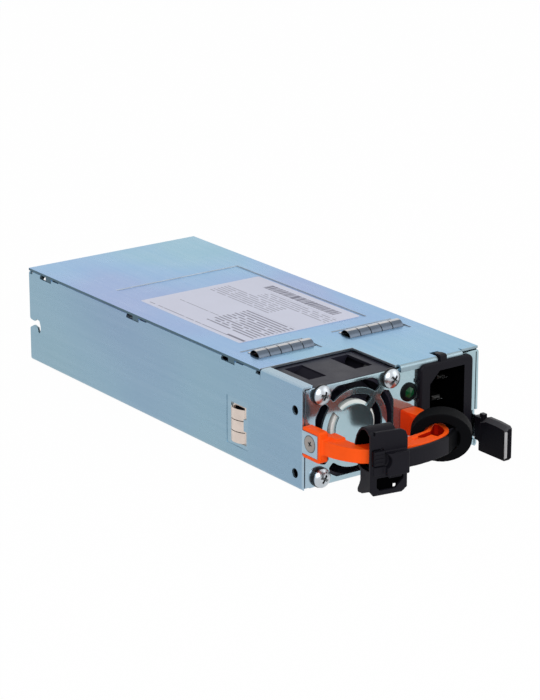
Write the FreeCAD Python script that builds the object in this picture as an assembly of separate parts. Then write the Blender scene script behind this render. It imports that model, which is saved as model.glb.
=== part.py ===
import FreeCAD, Part

import math
import os

# Hot swap server power supply, in millimetres.
# Origin: centre of the case's bottom face. +Z up, +Y towards the rear connector, +X to the right
# as seen from the front. Every piece is its own solid, or its own group of identical solids.

# ---------------------------------------------------------------- driving dimensions
CASE_W = 83.0
CASE_L = 190.0
CASE_H = 40.0
SHEET = 1.0
BEND = 1.4
SEAM = 0.4

FAN_SIZE = 37.4
FAN_DEPTH = 27.4
FAN_PITCH = 32.0
FAN_BORE_R = 18.0
HUB_R = 11.3
BLADE_COUNT = 7
SHAFT_R = 1.0
RUNNING_GAP = 0.05

INLET_W = 25.4
INLET_H = 31.2
INLET_PROUD = 2.2
INLET_DEPTH = 22.0

BAR_BOTTOM = 17.0
BAR_TOP = 22.4
TAB_LENGTH = 9.0
TAB_BOTTOM = 15.1
TAB_TOP = 23.9

BOARD_T = 1.6
BOARD_Z = 5.0
TONGUE_REACH = 8.6

# ---------------------------------------------------------------- worked-out places
LEFT = -CASE_W / 2
RIGHT = CASE_W / 2
FRONT = -CASE_L / 2
REAR = CASE_L / 2
TOP = CASE_H
FAN_X = LEFT + 24.0
FAN_Z = 19.95
FAN_Y0 = FRONT + SHEET
FAN_Y1 = FAN_Y0 + FAN_DEPTH
INLET_X = LEFT + 66.0
INLET_Z = 22.8
LENS_X = LEFT + 49.1
LENS_Z = 28.5
COVER_FRONT = FRONT + 26.5
LIP_LEFT = LEFT + 44.6
LIP_RIGHT = LEFT + 74.4
BOARD_TOP = BOARD_Z + BOARD_T

X_AXIS = FreeCAD.Vector(1, 0, 0)
Y_AXIS = FreeCAD.Vector(0, 1, 0)
Z_AXIS = FreeCAD.Vector(0, 0, 1)


# ---------------------------------------------------------------- helpers
def vec(x, y, z):
    return FreeCAD.Vector(x, y, z)


def inset(x, y, z):
    """A point given from the left wall, the front face and the bottom."""
    return vec(LEFT + x, FRONT + y, z)


def box(x0, x1, y0, y1, z0, z1):
    return Part.makeBox(x1 - x0, y1 - y0, z1 - z0, vec(x0, y0, z0))


def inset_box(x0, x1, y0, y1, z0, z1):
    return box(LEFT + x0, LEFT + x1, FRONT + y0, FRONT + y1, z0, z1)


def rod(start, axis, radius, length):
    return Part.makeCylinder(radius, length, start, axis)


def tube(start, axis, outer, inner, length):
    return rod(start, axis, outer, length).cut(rod(start, axis, inner, length))


def prism(points, direction):
    return Part.Face(Part.makePolygon(points + points[:1])).extrude(direction)


def arc(a, b, c):
    return Part.Arc(a, b, c).toShape()


def line(a, b):
    return Part.makeLine(a, b)


def union(shapes):
    whole = shapes[0]
    for shape in shapes[1:]:
        whole = whole.fuse(shape)
    return whole.removeSplitter()


def cut_all(body, tools):
    for tool in tools:
        body = body.cut(tool)
    return body


def turned(shape, centre, axis, degrees):
    copy = shape.copy()
    copy.rotate(centre, axis, degrees)
    return copy


def moved(shape, offset):
    copy = shape.copy()
    copy.translate(offset)
    return copy


def fillet_where(body, radius, test):
    edges = [edge for edge in body.Edges if test(edge)]
    return body.makeFillet(radius, edges) if edges else body


def chamfer_where(body, size, test):
    edges = [edge for edge in body.Edges if test(edge)]
    return body.makeChamfer(size, edges) if edges else body


def runs_along(edge, axis):
    if len(edge.Vertexes) < 2:
        return False
    span = edge.Vertexes[1].Point - edge.Vertexes[0].Point
    return span.Length > 1e-6 and abs(abs(span.normalize().dot(axis)) - 1) < 1e-6


def rounded_block(x0, x1, y0, y1, z0, z1, radius, axis):
    return fillet_where(box(x0, x1, y0, y1, z0, z1), radius, lambda edge: runs_along(edge, axis))


def hexagon_hole(x, z, across, y0, depth):
    corner = across / math.sqrt(3)
    points = []
    for step in range(6):
        angle = math.radians(60 * step)
        points.append(vec(x + corner * math.cos(angle), y0, z + corner * math.sin(angle)))
    return prism(points, vec(0, depth, 0))


def group(shapes):
    return Part.makeCompound(shapes)


# ---------------------------------------------------------------- front plate cut-outs
GUARD_HUB_R = 10.1
GUARD_SLOT_R = 12.8
GUARD_RING_R = 15.2
GUARD_REACH_R = 19.3
GUARD_HALF_W = 18.1
GUARD_HALF_H = 17.6
GUARD_BOSS_R = 4.8
SPOKE_W = 2.6
SCREW_HOLE_R = 2.1
SCREW_SHANK_R = 1.7
SCREW_HEAD_R = 3.7
WASHER_R = 3.9
WASHER_T = 1.7


def guard_centre(y):
    return vec(FAN_X, y, FAN_Z)


def fan_corners():
    half = FAN_PITCH / 2
    return [(FAN_X + sx * half, FAN_Z + sz * half) for sx in (-1, 1) for sz in (-1, 1)]


def guard_openings():
    """Four arc slots round the hub disc and four outer slots, parted by diagonal spokes."""
    y0 = FRONT - 1
    depth = SHEET + 2
    start = guard_centre(y0)
    slots = tube(start, Y_AXIS, GUARD_SLOT_R, GUARD_HUB_R, depth)
    outer = rod(start, Y_AXIS, GUARD_REACH_R, depth)
    window = rounded_block(FAN_X - GUARD_HALF_W, FAN_X + GUARD_HALF_W, y0, y0 + depth,
                           FAN_Z - GUARD_HALF_H, FAN_Z + GUARD_HALF_H, 5.0, Y_AXIS)
    outer = outer.common(window).cut(rod(start, Y_AXIS, GUARD_RING_R, depth))
    spoke = box(FAN_X - 30, FAN_X + 30, y0, y0 + depth, FAN_Z - SPOKE_W / 2, FAN_Z + SPOKE_W / 2)
    spokes = [turned(spoke, guard_centre(0), Y_AXIS, angle) for angle in (45, -45)]
    bosses = [rod(vec(x, y0, z), Y_AXIS, GUARD_BOSS_R, depth) for x, z in fan_corners()]
    openings = cut_all(slots, spokes).Solids + cut_all(outer, spokes + bosses).Solids
    return [fillet_where(opening, 0.9, lambda edge: runs_along(edge, Y_AXIS)) for opening in openings]


def front_plate():
    plate = box(LEFT + SHEET + SEAM, RIGHT - SHEET - SEAM, FRONT, FRONT + SHEET, 0, TOP - SHEET - 0.5)
    tools = guard_openings()
    tools += [rod(vec(x, FRONT - 1, z), Y_AXIS, SCREW_HOLE_R, SHEET + 2) for x, z in fan_corners()]
    tools.append(rod(vec(LENS_X, FRONT - 1, LENS_Z), Y_AXIS, 3.1, SHEET + 2))
    half_w = INLET_W / 2 - 1.5
    half_h = INLET_H / 2 - 1.8
    tools.append(rounded_block(INLET_X - half_w, INLET_X + half_w, FRONT - 1, FRONT + SHEET + 1,
                               INLET_Z - half_h, INLET_Z + half_h, 2.0, Y_AXIS))
    tools.append(rod(inset(HANDLE_SCREW_X, -1, HANDLE_SCREW_Z), Y_AXIS, 1.8, SHEET + 2))
    tools.append(inset_box(LATCH_SLOT_X0, 84, -1, SHEET + 1, LATCH_SLOT_Z0, LATCH_SLOT_Z1))
    return cut_all(plate, tools)


# ---------------------------------------------------------------- sheet metal
HANDLE_SCREW_X = 49.4
HANDLE_SCREW_Z = 17.2
TAB_SCREW_Y = -4.4
TAB_SCREW_Z = 19.7
LATCH_SLOT_X0 = 78.75
LATCH_SLOT_Z0 = 2.8
LATCH_SLOT_Z1 = 14.8
CATCH_Y0 = 6.5
CATCH_Y1 = 13.0
CATCH_PROUD = 1.2
SIDE_HOLE_Y = 4.4
SIDE_HOLE_ZS = (5.9, 30.2)
FINGER_WINDOW = (35.2, 44.9, 7.0, 22.1)
WINDOW_FRAME = (34.0, 47.6, 5.5, 24.2)
WINDOW_TAB = (37.0, 12.5, 17.3)
PRESSING = 0.25
POCKET_DEPTH = 0.35
GUIDE_Z = (12.0, 20.0)
TAB_PLACES = (42.4, 107.4, 172.6)
TAB_W = 4.1
TAB_NOTCH = 4.6
FLANGE_W = 4.6
LEDGE_W = 5.0
CORNER_RELIEFS = ((25.9, 28.9, LEDGE_W + 1), (CASE_L - 2.6, CASE_L - 0.8, 1.3))


def bent_wall(outer, inward, y0, y1, top, flange):
    """Upright wall whose top is bent inwards to a flange, with the bend's outer radius."""
    sides = sorted((outer, outer + inward * SHEET))
    reach = sorted((outer, outer + inward * flange))
    wall = union([box(*sides, y0, y1, 0, top), box(*reach, y0, y1, top - SHEET, top)])
    return fillet_where(wall, BEND, lambda edge: runs_along(edge, Y_AXIS)
                        and abs(edge.CenterOfMass.x - outer) < 0.01 and edge.CenterOfMass.z > top - 0.01)


def rear_guide():
    """Lead-in slot in the wall's rear edge, with a short keyway at its inner end."""
    points = [(-1.0, 19.0), (1.0, 17.9), (3.6, 17.8), (5.2, 19.0), (7.4, 18.6), (8.2, 16.6), (8.2, 14.6),
              (7.4, 13.4), (6.4, 13.4), (5.8, 15.4), (3.0, 15.9), (0.5, 14.6), (-1.0, 12.9)]
    return prism([inset(-1, CASE_L - from_rear, z) for from_rear, z in points], vec(SHEET + 2, 0, 0))


def window_opening():
    """Finger window with the short tab that stands into its front edge."""
    y0, y1, z0, z1 = FINGER_WINDOW
    tab_y, tab_z0, tab_z1 = WINDOW_TAB
    opening = inset_box(-1, SHEET + 0.5, y0, y1, z0, z1)
    return opening.cut(inset_box(-2, SHEET + 1, y0 - 1, tab_y, tab_z0, tab_z1))


def seam_cuts():
    """Notches for the cover's tabs and the slots beside them, along the wall's top bend."""
    tools = []
    for y in TAB_PLACES:
        tools.append(inset_box(-1, 2.2, y - 0.05, y + TAB_W + TAB_NOTCH, TOP - 2.8, TOP + 1))
        tools.append(inset_box(-1, 1.8, y - 5.2, y - 0.4, TOP - 1.6, TOP - SHEET))
    tools += [inset_box(-1, depth, y0, y1, TOP - 2.3, TOP - SHEET) for y0, y1, depth in CORNER_RELIEFS]
    return tools


def left_wall():
    """Side wall with the finger window, rear guide slot, front holes and the forward handle tab."""
    front = bent_wall(LEFT, 1, FRONT, COVER_FRONT - 0.5, TOP, FLANGE_W)
    rear = bent_wall(LEFT, 1, COVER_FRONT - 0.5, REAR, TOP - SHEET, LEDGE_W)
    tab = inset_box(0, SHEET, -TAB_LENGTH, 1, TAB_BOTTOM, TAB_TOP)
    wall = union([front, rear, tab])
    y0, y1, z0, z1 = WINDOW_FRAME
    tools = [inset_box(-1, PRESSING, y0, y1, z0, z1), window_opening(), rear_guide()] + seam_cuts()
    tools += [rod(inset(-1, SIDE_HOLE_Y, z), X_AXIS, 1.8, SHEET + 2) for z in SIDE_HOLE_ZS]
    tools.append(Part.makeCone(3.4, 1.9, 1.2, inset(-0.01, TAB_SCREW_Y, TAB_SCREW_Z), X_AXIS))
    return cut_all(wall, tools)


def right_wall():
    wall = bent_wall(RIGHT, -1, FRONT, REAR, TOP - SHEET, LEDGE_W)
    tools = [inset_box(80, 84, CATCH_Y0 - 1.5, CATCH_Y1 + 1.5, 4.0, 14.0)]
    tools.append(inset_box(81.0, 84, -1, 1.6, LATCH_SLOT_Z0, LATCH_SLOT_Z1))
    tools += [Part.makeCone(2.9, 1.6, 1.2, vec(RIGHT + 0.01, FRONT + y, TOP - 5), vec(-1, 0, 0))
              for y in COVER_SCREW_PLACES]
    return cut_all(wall, tools)


COVER_SCREW_PLACES = (60.0, 120.0, 176.0)
STANDOFF_PLACES = ((9.0, 38.0), (74.0, 38.0), (9.0, 110.0), (74.0, 110.0), (9.0, 178.0), (74.0, 178.0))


def chassis_tray():
    bottom = box(LEFT, RIGHT, FRONT, REAR, 0, SHEET)
    tray = union([bottom, left_wall(), right_wall(), front_plate()])
    tray = fillet_where(tray, BEND, lambda edge: runs_along(edge, Y_AXIS) and edge.Length > CASE_L - 1
                        and edge.CenterOfMass.z < 0.01)
    start = LEFT + SHEET + SEAM
    length = CASE_W - 2 * (SHEET + SEAM)
    corner = Part.makeBox(length, BEND, BEND, vec(start, FRONT, 0))
    tray = tray.cut(corner.cut(rod(vec(start, FRONT + BEND, BEND), X_AXIS, BEND, length)))
    reliefs = []
    for x0, x1 in ((SHEET, SHEET + SEAM), (CASE_W - SHEET - SEAM, CASE_W - SHEET)):
        reliefs.append(inset_box(x0, x1, -1, 2.2, -1, 2.6))
        reliefs.append(inset_box(min(x0, CASE_W - 4.1), max(x1, 4.1), -1, 1.6, -1, 0.7))
    tray = cut_all(tray, reliefs)
    dimples = []
    for x, y in STANDOFF_PLACES:
        dimples.append(rod(inset(x, y, -1), Z_AXIS, 1.3, SHEET + 2))
    return cut_all(tray, dimples)


def cover_recess():
    """Shallow stamped recess for the label, with its 0.4 mm floor step."""
    return inset_box(12, 72, 54.6, 142, TOP - 0.4, TOP + 1)


def finger_pocket(x0, x1, y0, y1):
    return inset_box(x0, x1, y0, y1, TOP - POCKET_DEPTH, TOP + 1)


TOP_FINGERS_LEFT = (8.1, 34.2, 37.7, 44.0)
TOP_FINGERS_RIGHT = (50.6, 76.8, 37.3, 43.6)


def top_cover():
    """Flat lid with the fan cut-out, front lip, label recess, finger windows and side tabs."""
    plate = box(LEFT, RIGHT, FRONT + 0.6, REAR, TOP - SHEET, TOP)
    lip = box(LIP_LEFT, LIP_RIGHT, FRONT - SHEET, FRONT, TOP - 2.9, TOP)
    bridge = box(LIP_LEFT, LIP_RIGHT, FRONT - SHEET, FRONT + 1, TOP - SHEET, TOP)
    floor = inset_box(12.4, 71.6, 55, 141.6, TOP - SHEET - 0.4, TOP - SHEET)
    tabs = [inset_box(0, SHEET, y, y + TAB_W, TOP - 2.6, TOP - 0.5) for y in TAB_PLACES]
    cover = union([plate, lip, bridge, floor] + tabs)
    cover = fillet_where(cover, BEND, lambda edge: runs_along(edge, X_AXIS) and edge.Length > 25
                         and edge.CenterOfMass.z > TOP - 0.01 and edge.CenterOfMass.y < FRONT - 0.5)
    tools = [box(LEFT - 1, LEFT + 43.0, FRONT - 2, COVER_FRONT, TOP - 4, TOP + 1),
             cover_recess()]
    for x0, x1, y0, y1 in (TOP_FINGERS_LEFT, TOP_FINGERS_RIGHT):
        tools.append(finger_pocket(x0 - 2.2, x1 + 0.6, y0 - 3.8, y1 + 3.2))
        tools.append(inset_box(x0 - 0.1, x1 + 0.1, y0 - 0.4, y1 - 0.6, TOP - 2, TOP + 1))
    tools.append(inset_box(62.3, 66.4, -2, 4.6, TOP - 4, TOP + 1))
    tools.append(inset_box(74.4, 75.0, -2, 2.0, TOP - 4, TOP + 1))
    return cut_all(cover, tools)


def rear_panel():
    """Rear wall with a hexagonal vent field and the card-edge opening."""
    y0 = REAR - SHEET - 0.6
    y1 = y0 + SHEET
    panel = box(LEFT + SHEET + 0.1, RIGHT - SHEET - 0.1, y0, y1, SHEET, TOP - 2 * SHEET - 0.1)
    foot = box(LEFT + 8, RIGHT - 8, y0 - 4, y0 + SHEET, SHEET, SHEET + 1)
    panel = union([panel, foot])
    tools = [inset_box(10.5, 72.5, CASE_L - 4, CASE_L + 1, BOARD_Z - 1.6, BOARD_TOP + 1.6)]
    pitch = 5.6
    for row in range(5):
        for column in range(13):
            x = LEFT + 7.9 + pitch * (column + 0.5 * (row % 2))
            z = 13.4 + pitch * 0.86 * row
            tools.append(hexagon_hole(x, z, 4.6, y0 - 1, SHEET + 2))
    tools.append(inset_box(-1, 6, CASE_L - 4, CASE_L + 1, *GUIDE_Z))
    return cut_all(panel, tools)


def rating_label():
    return inset_box(13.5, 70.5, 56, 124, TOP - 0.4, TOP - 0.25)


def board_standoffs():
    posts = []
    for x, y in STANDOFF_PLACES:
        post = rod(inset(x, y, SHEET), Z_AXIS, 2.6, BOARD_Z - SHEET)
        posts.append(post.cut(rod(inset(x, y, SHEET), Z_AXIS, 1.25, BOARD_Z)))
    return group(posts)


def board_screws():
    screws = []
    for x, y in STANDOFF_PLACES:
        head = rod(inset(x, y, BOARD_TOP), Z_AXIS, 2.6, 1.7)
        head = chamfer_where(head, 0.7, lambda edge: edge.CenterOfMass.z > BOARD_TOP + 1.6)
        screws.append(head.fuse(rod(inset(x, y, 2.0), Z_AXIS, 1.2, BOARD_TOP - 2.0)))
    return group(screws)


def cover_screws():
    screws = []
    for y in COVER_SCREW_PLACES:
        start = vec(RIGHT, FRONT + y, TOP - 5)
        inward = vec(-1, 0, 0)
        head = Part.makeCone(2.85, 1.55, 1.18, start, inward)
        screws.append(head.fuse(rod(start, inward, 1.5, 4.5)))
    return group(screws)


# ---------------------------------------------------------------- grounding fingers
FINGER_GAUGE = 0.3
FINGER_CREST = 1.75


def arched_finger(y0, y1, width):
    """One curled spring finger: it rises from its rear foot and dips through the window in front."""
    floor_z = -POCKET_DEPTH
    middle = (y0 + y1) / 2

    def at(y, z):
        return vec(0, y, z)
    thick = FINGER_GAUGE
    profile = Part.Wire([
        arc(at(y1, floor_z), at(middle, FINGER_CREST), at(y0, -SHEET)), line(at(y0, -SHEET), at(y0 + thick, -SHEET)),
        arc(at(y0 + thick, -SHEET), at(middle, FINGER_CREST - thick), at(y1 - thick, floor_z)),
        line(at(y1 - thick, floor_z), at(y1, floor_z))])
    return Part.Face(profile).extrude(vec(width, 0, 0))


def finger_strip(x0, x1, y0, y1, count):
    """Row of curled fingers joined by the rear foot, which lies in the cover's pocket."""
    pitch = (x1 - x0) / count
    floor_z = TOP - POCKET_DEPTH
    foot = inset_box(x0, x1, y1 - FINGER_GAUGE, y1 + 1.2, floor_z, floor_z + FINGER_GAUGE)
    fingers = []
    for index in range(count):
        finger = arched_finger(y0, y1, pitch - 0.35)
        fingers.append(moved(finger, inset(x0 + index * pitch + 0.17, 0, TOP)))
    return union([foot] + fingers)


def top_spring_fingers_left():
    return finger_strip(*TOP_FINGERS_LEFT, 5)


def top_spring_fingers_right():
    return finger_strip(*TOP_FINGERS_RIGHT, 5)


def side_spring_fingers():
    """Three bowed fingers: out over the window's rear edge and back in behind its front edge."""
    y0, y1, z0, z1 = FINGER_WINDOW
    thick = FINGER_GAUGE
    back = inset_box(SHEET, SHEET + thick, y0 - 1, y1 + 1, z0 - 1, z1 + 1)
    back = back.cut(inset_box(0, 3, y0 + 1.9, y1 - 1.8, z0 + 0.8, z1 - 0.8))
    front_y = y0 + 1.8
    pitch = (z1 - 1.3 - z0) / 3
    pieces = [back]
    for index in range(3):
        low = z0 + index * pitch + 0.05

        def at(x, y):
            return inset(x, y, low)
        outline = [
            line(at(SHEET + thick, y1), at(0.1, y1)), arc(at(0.1, y1), at(-0.65, 41.4), at(SHEET, front_y)),
            line(at(SHEET, front_y), at(SHEET + thick, front_y)),
            arc(at(SHEET + thick, front_y), at(thick - 0.65, 41.4), at(0.1 + thick, y1 - thick)),
            line(at(0.1 + thick, y1 - thick), at(SHEET + thick, y1 - thick)),
            line(at(SHEET + thick, y1 - thick), at(SHEET + thick, y1))]
        pieces.append(Part.Face(Part.Wire(outline)).extrude(vec(0, 0, pitch - 0.3)))
    return union(pieces)


# ---------------------------------------------------------------- fan
POCKET_OFFSETS = (-10.2, 11.2)
POCKET_W = 8.0
POCKET_L = 15.2
BEARING_R = 2.6
STATOR_TUBE_R = 3.6


def fan_frame():
    """Square moulded duct: two flanges, the round barrel, side pockets and the rear spider."""
    half = FAN_SIZE / 2
    block = rounded_block(FAN_X - half, FAN_X + half, FAN_Y0, FAN_Y1, FAN_Z - half, FAN_Z + half, 1.2, Y_AXIS)
    start = guard_centre(FAN_Y0 + 8.2)
    barrel = rod(start, Y_AXIS, FAN_BORE_R + 1.1, POCKET_L)
    pockets = []
    for offset in POCKET_OFFSETS:
        pocket = box(FAN_X + offset - POCKET_W / 2, FAN_X + offset + POCKET_W / 2,
                     FAN_Y0 + 8.2, FAN_Y0 + 8.2 + POCKET_L, FAN_Z + 6, FAN_Z + half + 1)
        pocket = pocket.cut(barrel)
        pockets += [turned(pocket, guard_centre(0), Y_AXIS, 90 * turn) for turn in range(4)]
    holes = [rod(vec(x, FAN_Y0 - 1, z), Y_AXIS, SCREW_SHANK_R + 0.05, FAN_DEPTH + 2) for x, z in fan_corners()]
    bore = rod(guard_centre(FAN_Y0 - 1), Y_AXIS, FAN_BORE_R, FAN_DEPTH + 2)
    frame = cut_all(block, pockets + holes + [bore])
    hub_seat = rod(guard_centre(FAN_Y1 - 2.6), Y_AXIS, HUB_R, 2.6)
    bearing_post = rod(guard_centre(FAN_Y0 + 9), Y_AXIS, STATOR_TUBE_R, FAN_DEPTH - 9)
    strut = box(FAN_X - 1.1, FAN_X + 1.1, FAN_Y1 - 2.6, FAN_Y1, FAN_Z + 6, FAN_Z + FAN_BORE_R + 0.5)
    struts = [turned(strut, guard_centre(0), Y_AXIS, 45 + 90 * turn) for turn in range(4)]
    frame = union([frame, hub_seat, bearing_post] + struts)
    return frame.cut(rod(guard_centre(FAN_Y0), Y_AXIS, BEARING_R, FAN_DEPTH - 1.2))


def fan_bearing():
    start = guard_centre(FAN_Y0 + 9)
    return tube(start, Y_AXIS, BEARING_R, SHAFT_R + RUNNING_GAP, FAN_DEPTH - 10.2)


def fan_shaft():
    return rod(guard_centre(FAN_Y0 + HUB_FRONT + 0.4), Y_AXIS, SHAFT_R, FAN_DEPTH - 5.0)


def fan_stator():
    """Four wound poles on the bearing post, inside the rotor's hub."""
    start = guard_centre(FAN_Y0 + 11)
    core = rod(start, Y_AXIS, 5.2, 10)
    poles = []
    for turn in range(4):
        arm = box(FAN_X - 1.4, FAN_X + 1.4, FAN_Y0 + 11, FAN_Y0 + 21, FAN_Z + 3, FAN_Z + 7.2)
        shoe = box(FAN_X - 3.4, FAN_X + 3.4, FAN_Y0 + 12, FAN_Y0 + 20, FAN_Z + 6.6, FAN_Z + 7.6)
        poles.append(turned(arm.fuse(shoe), guard_centre(0), Y_AXIS, 90 * turn))
    return union([core] + poles).cut(rod(start, Y_AXIS, STATOR_TUBE_R, 10))


def blade_section(radius, chord, pitch_angle, camber, thick):
    """Thin cambered section at one radius, with straight sides between the two edges."""
    angle = math.radians(pitch_angle)
    along = vec(0, math.sin(angle), math.cos(angle))
    across = vec(0, math.cos(angle), -math.sin(angle))
    base = vec(radius, 0, 0)
    nose = base - along * (chord / 2)
    tail = base + along * (chord / 2)
    upper = [base + along * (chord * step) + across * (camber * 0.8 + thick / 2) for step in (-0.2, 0.2)]
    lower = [base + along * (chord * step) + across * (camber * 0.8 - thick / 2) for step in (0.2, -0.2)]
    return Part.makePolygon([nose] + upper + [tail] + lower + [nose])


HUB_FRONT = 2.6
HUB_REAR = 22.8
BLADE_MIDDLE = 13.0
YOKE_FRONT = 0.8


def fan_rotor():
    """Hub cup with seven twisted blades; the cup is open behind for the stator."""
    y0 = FAN_Y0 + HUB_FRONT
    hub = rod(guard_centre(y0), Y_AXIS, HUB_R, HUB_REAR - HUB_FRONT)
    hub = hub.cut(rod(guard_centre(y0 + 2.2), Y_AXIS, HUB_R - 1.6, HUB_REAR))
    root = blade_section(HUB_R - 0.8, 15.0, 50, 1.3, 1.5)
    middle = blade_section(14.4, 15.6, 43, 1.2, 1.2)
    tip = blade_section(18.4, 15.6, 36, 1.0, 0.9)
    blade = Part.makeLoft([root, middle, tip], True, True)
    blade = moved(blade, vec(FAN_X, FAN_Y0 + BLADE_MIDDLE, FAN_Z))
    limit = tube(guard_centre(y0 - 4), Y_AXIS, FAN_BORE_R - 0.5, HUB_R - 0.8, 30)
    blade = blade.common(limit)
    blades = [turned(blade, guard_centre(0), Y_AXIS, 360.0 / BLADE_COUNT * turn) for turn in range(BLADE_COUNT)]
    rotor = union([hub] + blades)
    return rotor.cut(rod(guard_centre(y0 - 1), Y_AXIS, SHAFT_R, 6))


def rotor_yoke():
    """Bright steel cap pressed on the front of the hub."""
    cap = rod(guard_centre(FAN_Y0 + YOKE_FRONT), Y_AXIS, HUB_R, HUB_FRONT - YOKE_FRONT)
    return chamfer_where(cap, 0.5, lambda edge: edge.CenterOfMass.y < FAN_Y0 + YOKE_FRONT + 0.1)


def domed_disc(x, z, back_y, radius, rim, rise):
    """Disc that faces the front, with an upright rim and a spherical dome."""
    sphere = (radius * radius + rise * rise) / (2 * rise)
    half_angle = math.asin(radius / sphere) / 2
    front_y = back_y - rim
    middle = vec(x + sphere * math.sin(half_angle), front_y - rise + sphere * (1 - math.cos(half_angle)), z)
    rim_edge = vec(x + radius, front_y, z)
    apex = vec(x, front_y - rise, z)
    outline = [line(vec(x, back_y, z), vec(x + radius, back_y, z)), line(vec(x + radius, back_y, z), rim_edge),
               arc(rim_edge, middle, apex), line(apex, vec(x, back_y, z))]
    return Part.Face(Part.Wire(outline)).revolve(vec(x, 0, z), Y_AXIS, 360)


def pan_screw(x, z):
    """Domed pan head with a cross recess, its shank passing through the washer and plate."""
    y0 = FRONT - WASHER_T
    head = domed_disc(x, z, y0, SCREW_HEAD_R, 0.7, 1.5)
    recess = [box(x - 2.0, x + 2.0, y0 - 3, y0 - 0.8, z - 0.5, z + 0.5),
              box(x - 0.5, x + 0.5, y0 - 3, y0 - 0.8, z - 2.0, z + 2.0)]
    recess = [turned(tool, vec(x, 0, z), Y_AXIS, 20) for tool in recess]
    shank = rod(vec(x, y0, z), Y_AXIS, SCREW_SHANK_R, 14 + WASHER_T)
    return cut_all(head, recess).fuse(shank)


def fan_screws():
    return group([pan_screw(x, z) for x, z in fan_corners()])


def fan_screw_washers():
    rings = []
    for x, z in fan_corners():
        ring = tube(vec(x, FRONT - WASHER_T, z), Y_AXIS, WASHER_R, SCREW_SHANK_R + 0.1, WASHER_T)
        rings.append(ring)
    return group(rings)


# ---------------------------------------------------------------- mains inlet and status light
CAVITY_W = 16.6
CAVITY_H = 24.2
CAVITY_CHAMFER = 4.6
PIN_OFFSETS = ((-2.0, 0.0, 4.4), (2.0, -7.0, 6.4), (2.0, 7.0, 6.4))


def inlet_cavity():
    """Mouth with two chamfered corners on the earth side, towards the fan."""
    x0 = INLET_X - CAVITY_W / 2
    x1 = INLET_X + CAVITY_W / 2
    z0 = INLET_Z - CAVITY_H / 2
    z1 = INLET_Z + CAVITY_H / 2
    y = FRONT - INLET_PROUD - 1
    points = [vec(x0 + CAVITY_CHAMFER, y, z0), vec(x1, y, z0), vec(x1, y, z1),
              vec(x0 + CAVITY_CHAMFER, y, z1), vec(x0, y, z1 - CAVITY_CHAMFER), vec(x0, y, z0 + CAVITY_CHAMFER)]
    return prism(points, vec(0, 18.2 + 1, 0))


def inlet_body():
    half_w = INLET_W / 2
    half_h = INLET_H / 2
    face = FRONT - INLET_PROUD
    bezel = rounded_block(INLET_X - half_w, INLET_X + half_w, face, FRONT,
                          INLET_Z - half_h, INLET_Z + half_h, 2.6, Y_AXIS)
    bezel = fillet_where(bezel, 0.9, lambda edge: abs(edge.BoundBox.YMin - face) < 0.01
                         and abs(edge.BoundBox.YMax - face) < 0.01)
    bezel = bezel.cut(box(LIP_LEFT - 1, LIP_RIGHT + 1, FRONT - SHEET - 0.05, FRONT, TOP - 3.0, TOP))
    block = rounded_block(INLET_X - half_w + 1.9, INLET_X + half_w - 1.9, FRONT - 0.5, FRONT + INLET_DEPTH,
                          INLET_Z - half_h + 2.2, INLET_Z + half_h - 2.2, 2.0, Y_AXIS)
    hook_z = TOP - 0.2
    hook = prism([inset(62.8, -1.9, INLET_Z + half_h - 1.4), inset(62.8, -1.9, hook_z + 0.4),
                  inset(62.8, -1.0, hook_z + 0.9), inset(62.8, 1.0, hook_z + 0.8),
                  inset(62.8, 3.8, hook_z + 0.3), inset(62.8, 3.8, hook_z), inset(62.8, -0.1, hook_z - 0.6),
                  inset(62.8, -0.4, INLET_Z + half_h - 0.6), inset(62.8, -1.1, INLET_Z + half_h - 1.4)],
                 vec(3.0, 0, 0))
    hook = hook.cut(prism([inset(62.7, 1.2, hook_z - 2), inset(62.7, 4.2, hook_z - 2), inset(64.8, 4.2, hook_z - 2)],
                          vec(0, 0, 4)))
    nubs = [box(INLET_X - half_w - 0.7, INLET_X - half_w + 0.5, face + 0.8, FRONT - 0.1, z, z + 1.3)
            for z in (INLET_Z + 1.4, INLET_Z + 8.6)]
    body = union([bezel, block, hook] + nubs)
    body = body.cut(inlet_cavity())
    slots = [box(INLET_X + dx - 2.05, INLET_X + dx + 2.05, FRONT + 12, FRONT + INLET_DEPTH + 1,
                 INLET_Z + dz - 1.05, INLET_Z + dz + 1.05) for dx, dz, _ in PIN_OFFSETS]
    return cut_all(body, slots)


def inlet_pins():
    pins = []
    for dx, dz, tip in PIN_OFFSETS:
        x = INLET_X + dx
        z = INLET_Z + dz
        blade = box(x - 2.0, x + 2.0, FRONT + tip - 3, FRONT + INLET_DEPTH + 5, z - 1.0, z + 1.0)
        pins.append(chamfer_where(blade, 0.7, lambda edge: edge.CenterOfMass.y < FRONT + tip - 2.9))
    return group(pins)


def status_lens():
    """Domed lens with a flange outside the plate and a stem through it."""
    flange = domed_disc(LENS_X, LENS_Z, FRONT, 3.7, 0.5, 0.9)
    stem = rod(vec(LENS_X, FRONT, LENS_Z), Y_AXIS, 2.9, 4.0)
    return flange.fuse(stem)


def status_led():
    """Lamp behind the lens, on long leads bent down to the main board."""
    body = rod(vec(LENS_X, FRONT + 4.0, LENS_Z), Y_AXIS, 1.5, 4.4)
    flange = rod(vec(LENS_X, FRONT + 7.4, LENS_Z), Y_AXIS, 1.9, 1.0)
    leads = []
    for side in (-1.27, 1.27):
        x = LENS_X + side
        leads.append(box(x - 0.3, x + 0.3, FRONT + 8, FRONT + 32.2, LENS_Z - 0.3, LENS_Z + 0.3))
        leads.append(box(x - 0.3, x + 0.3, FRONT + 31.6, FRONT + 32.2, BOARD_TOP, LENS_Z + 0.3))
    return union([body, flange] + leads)


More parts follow.
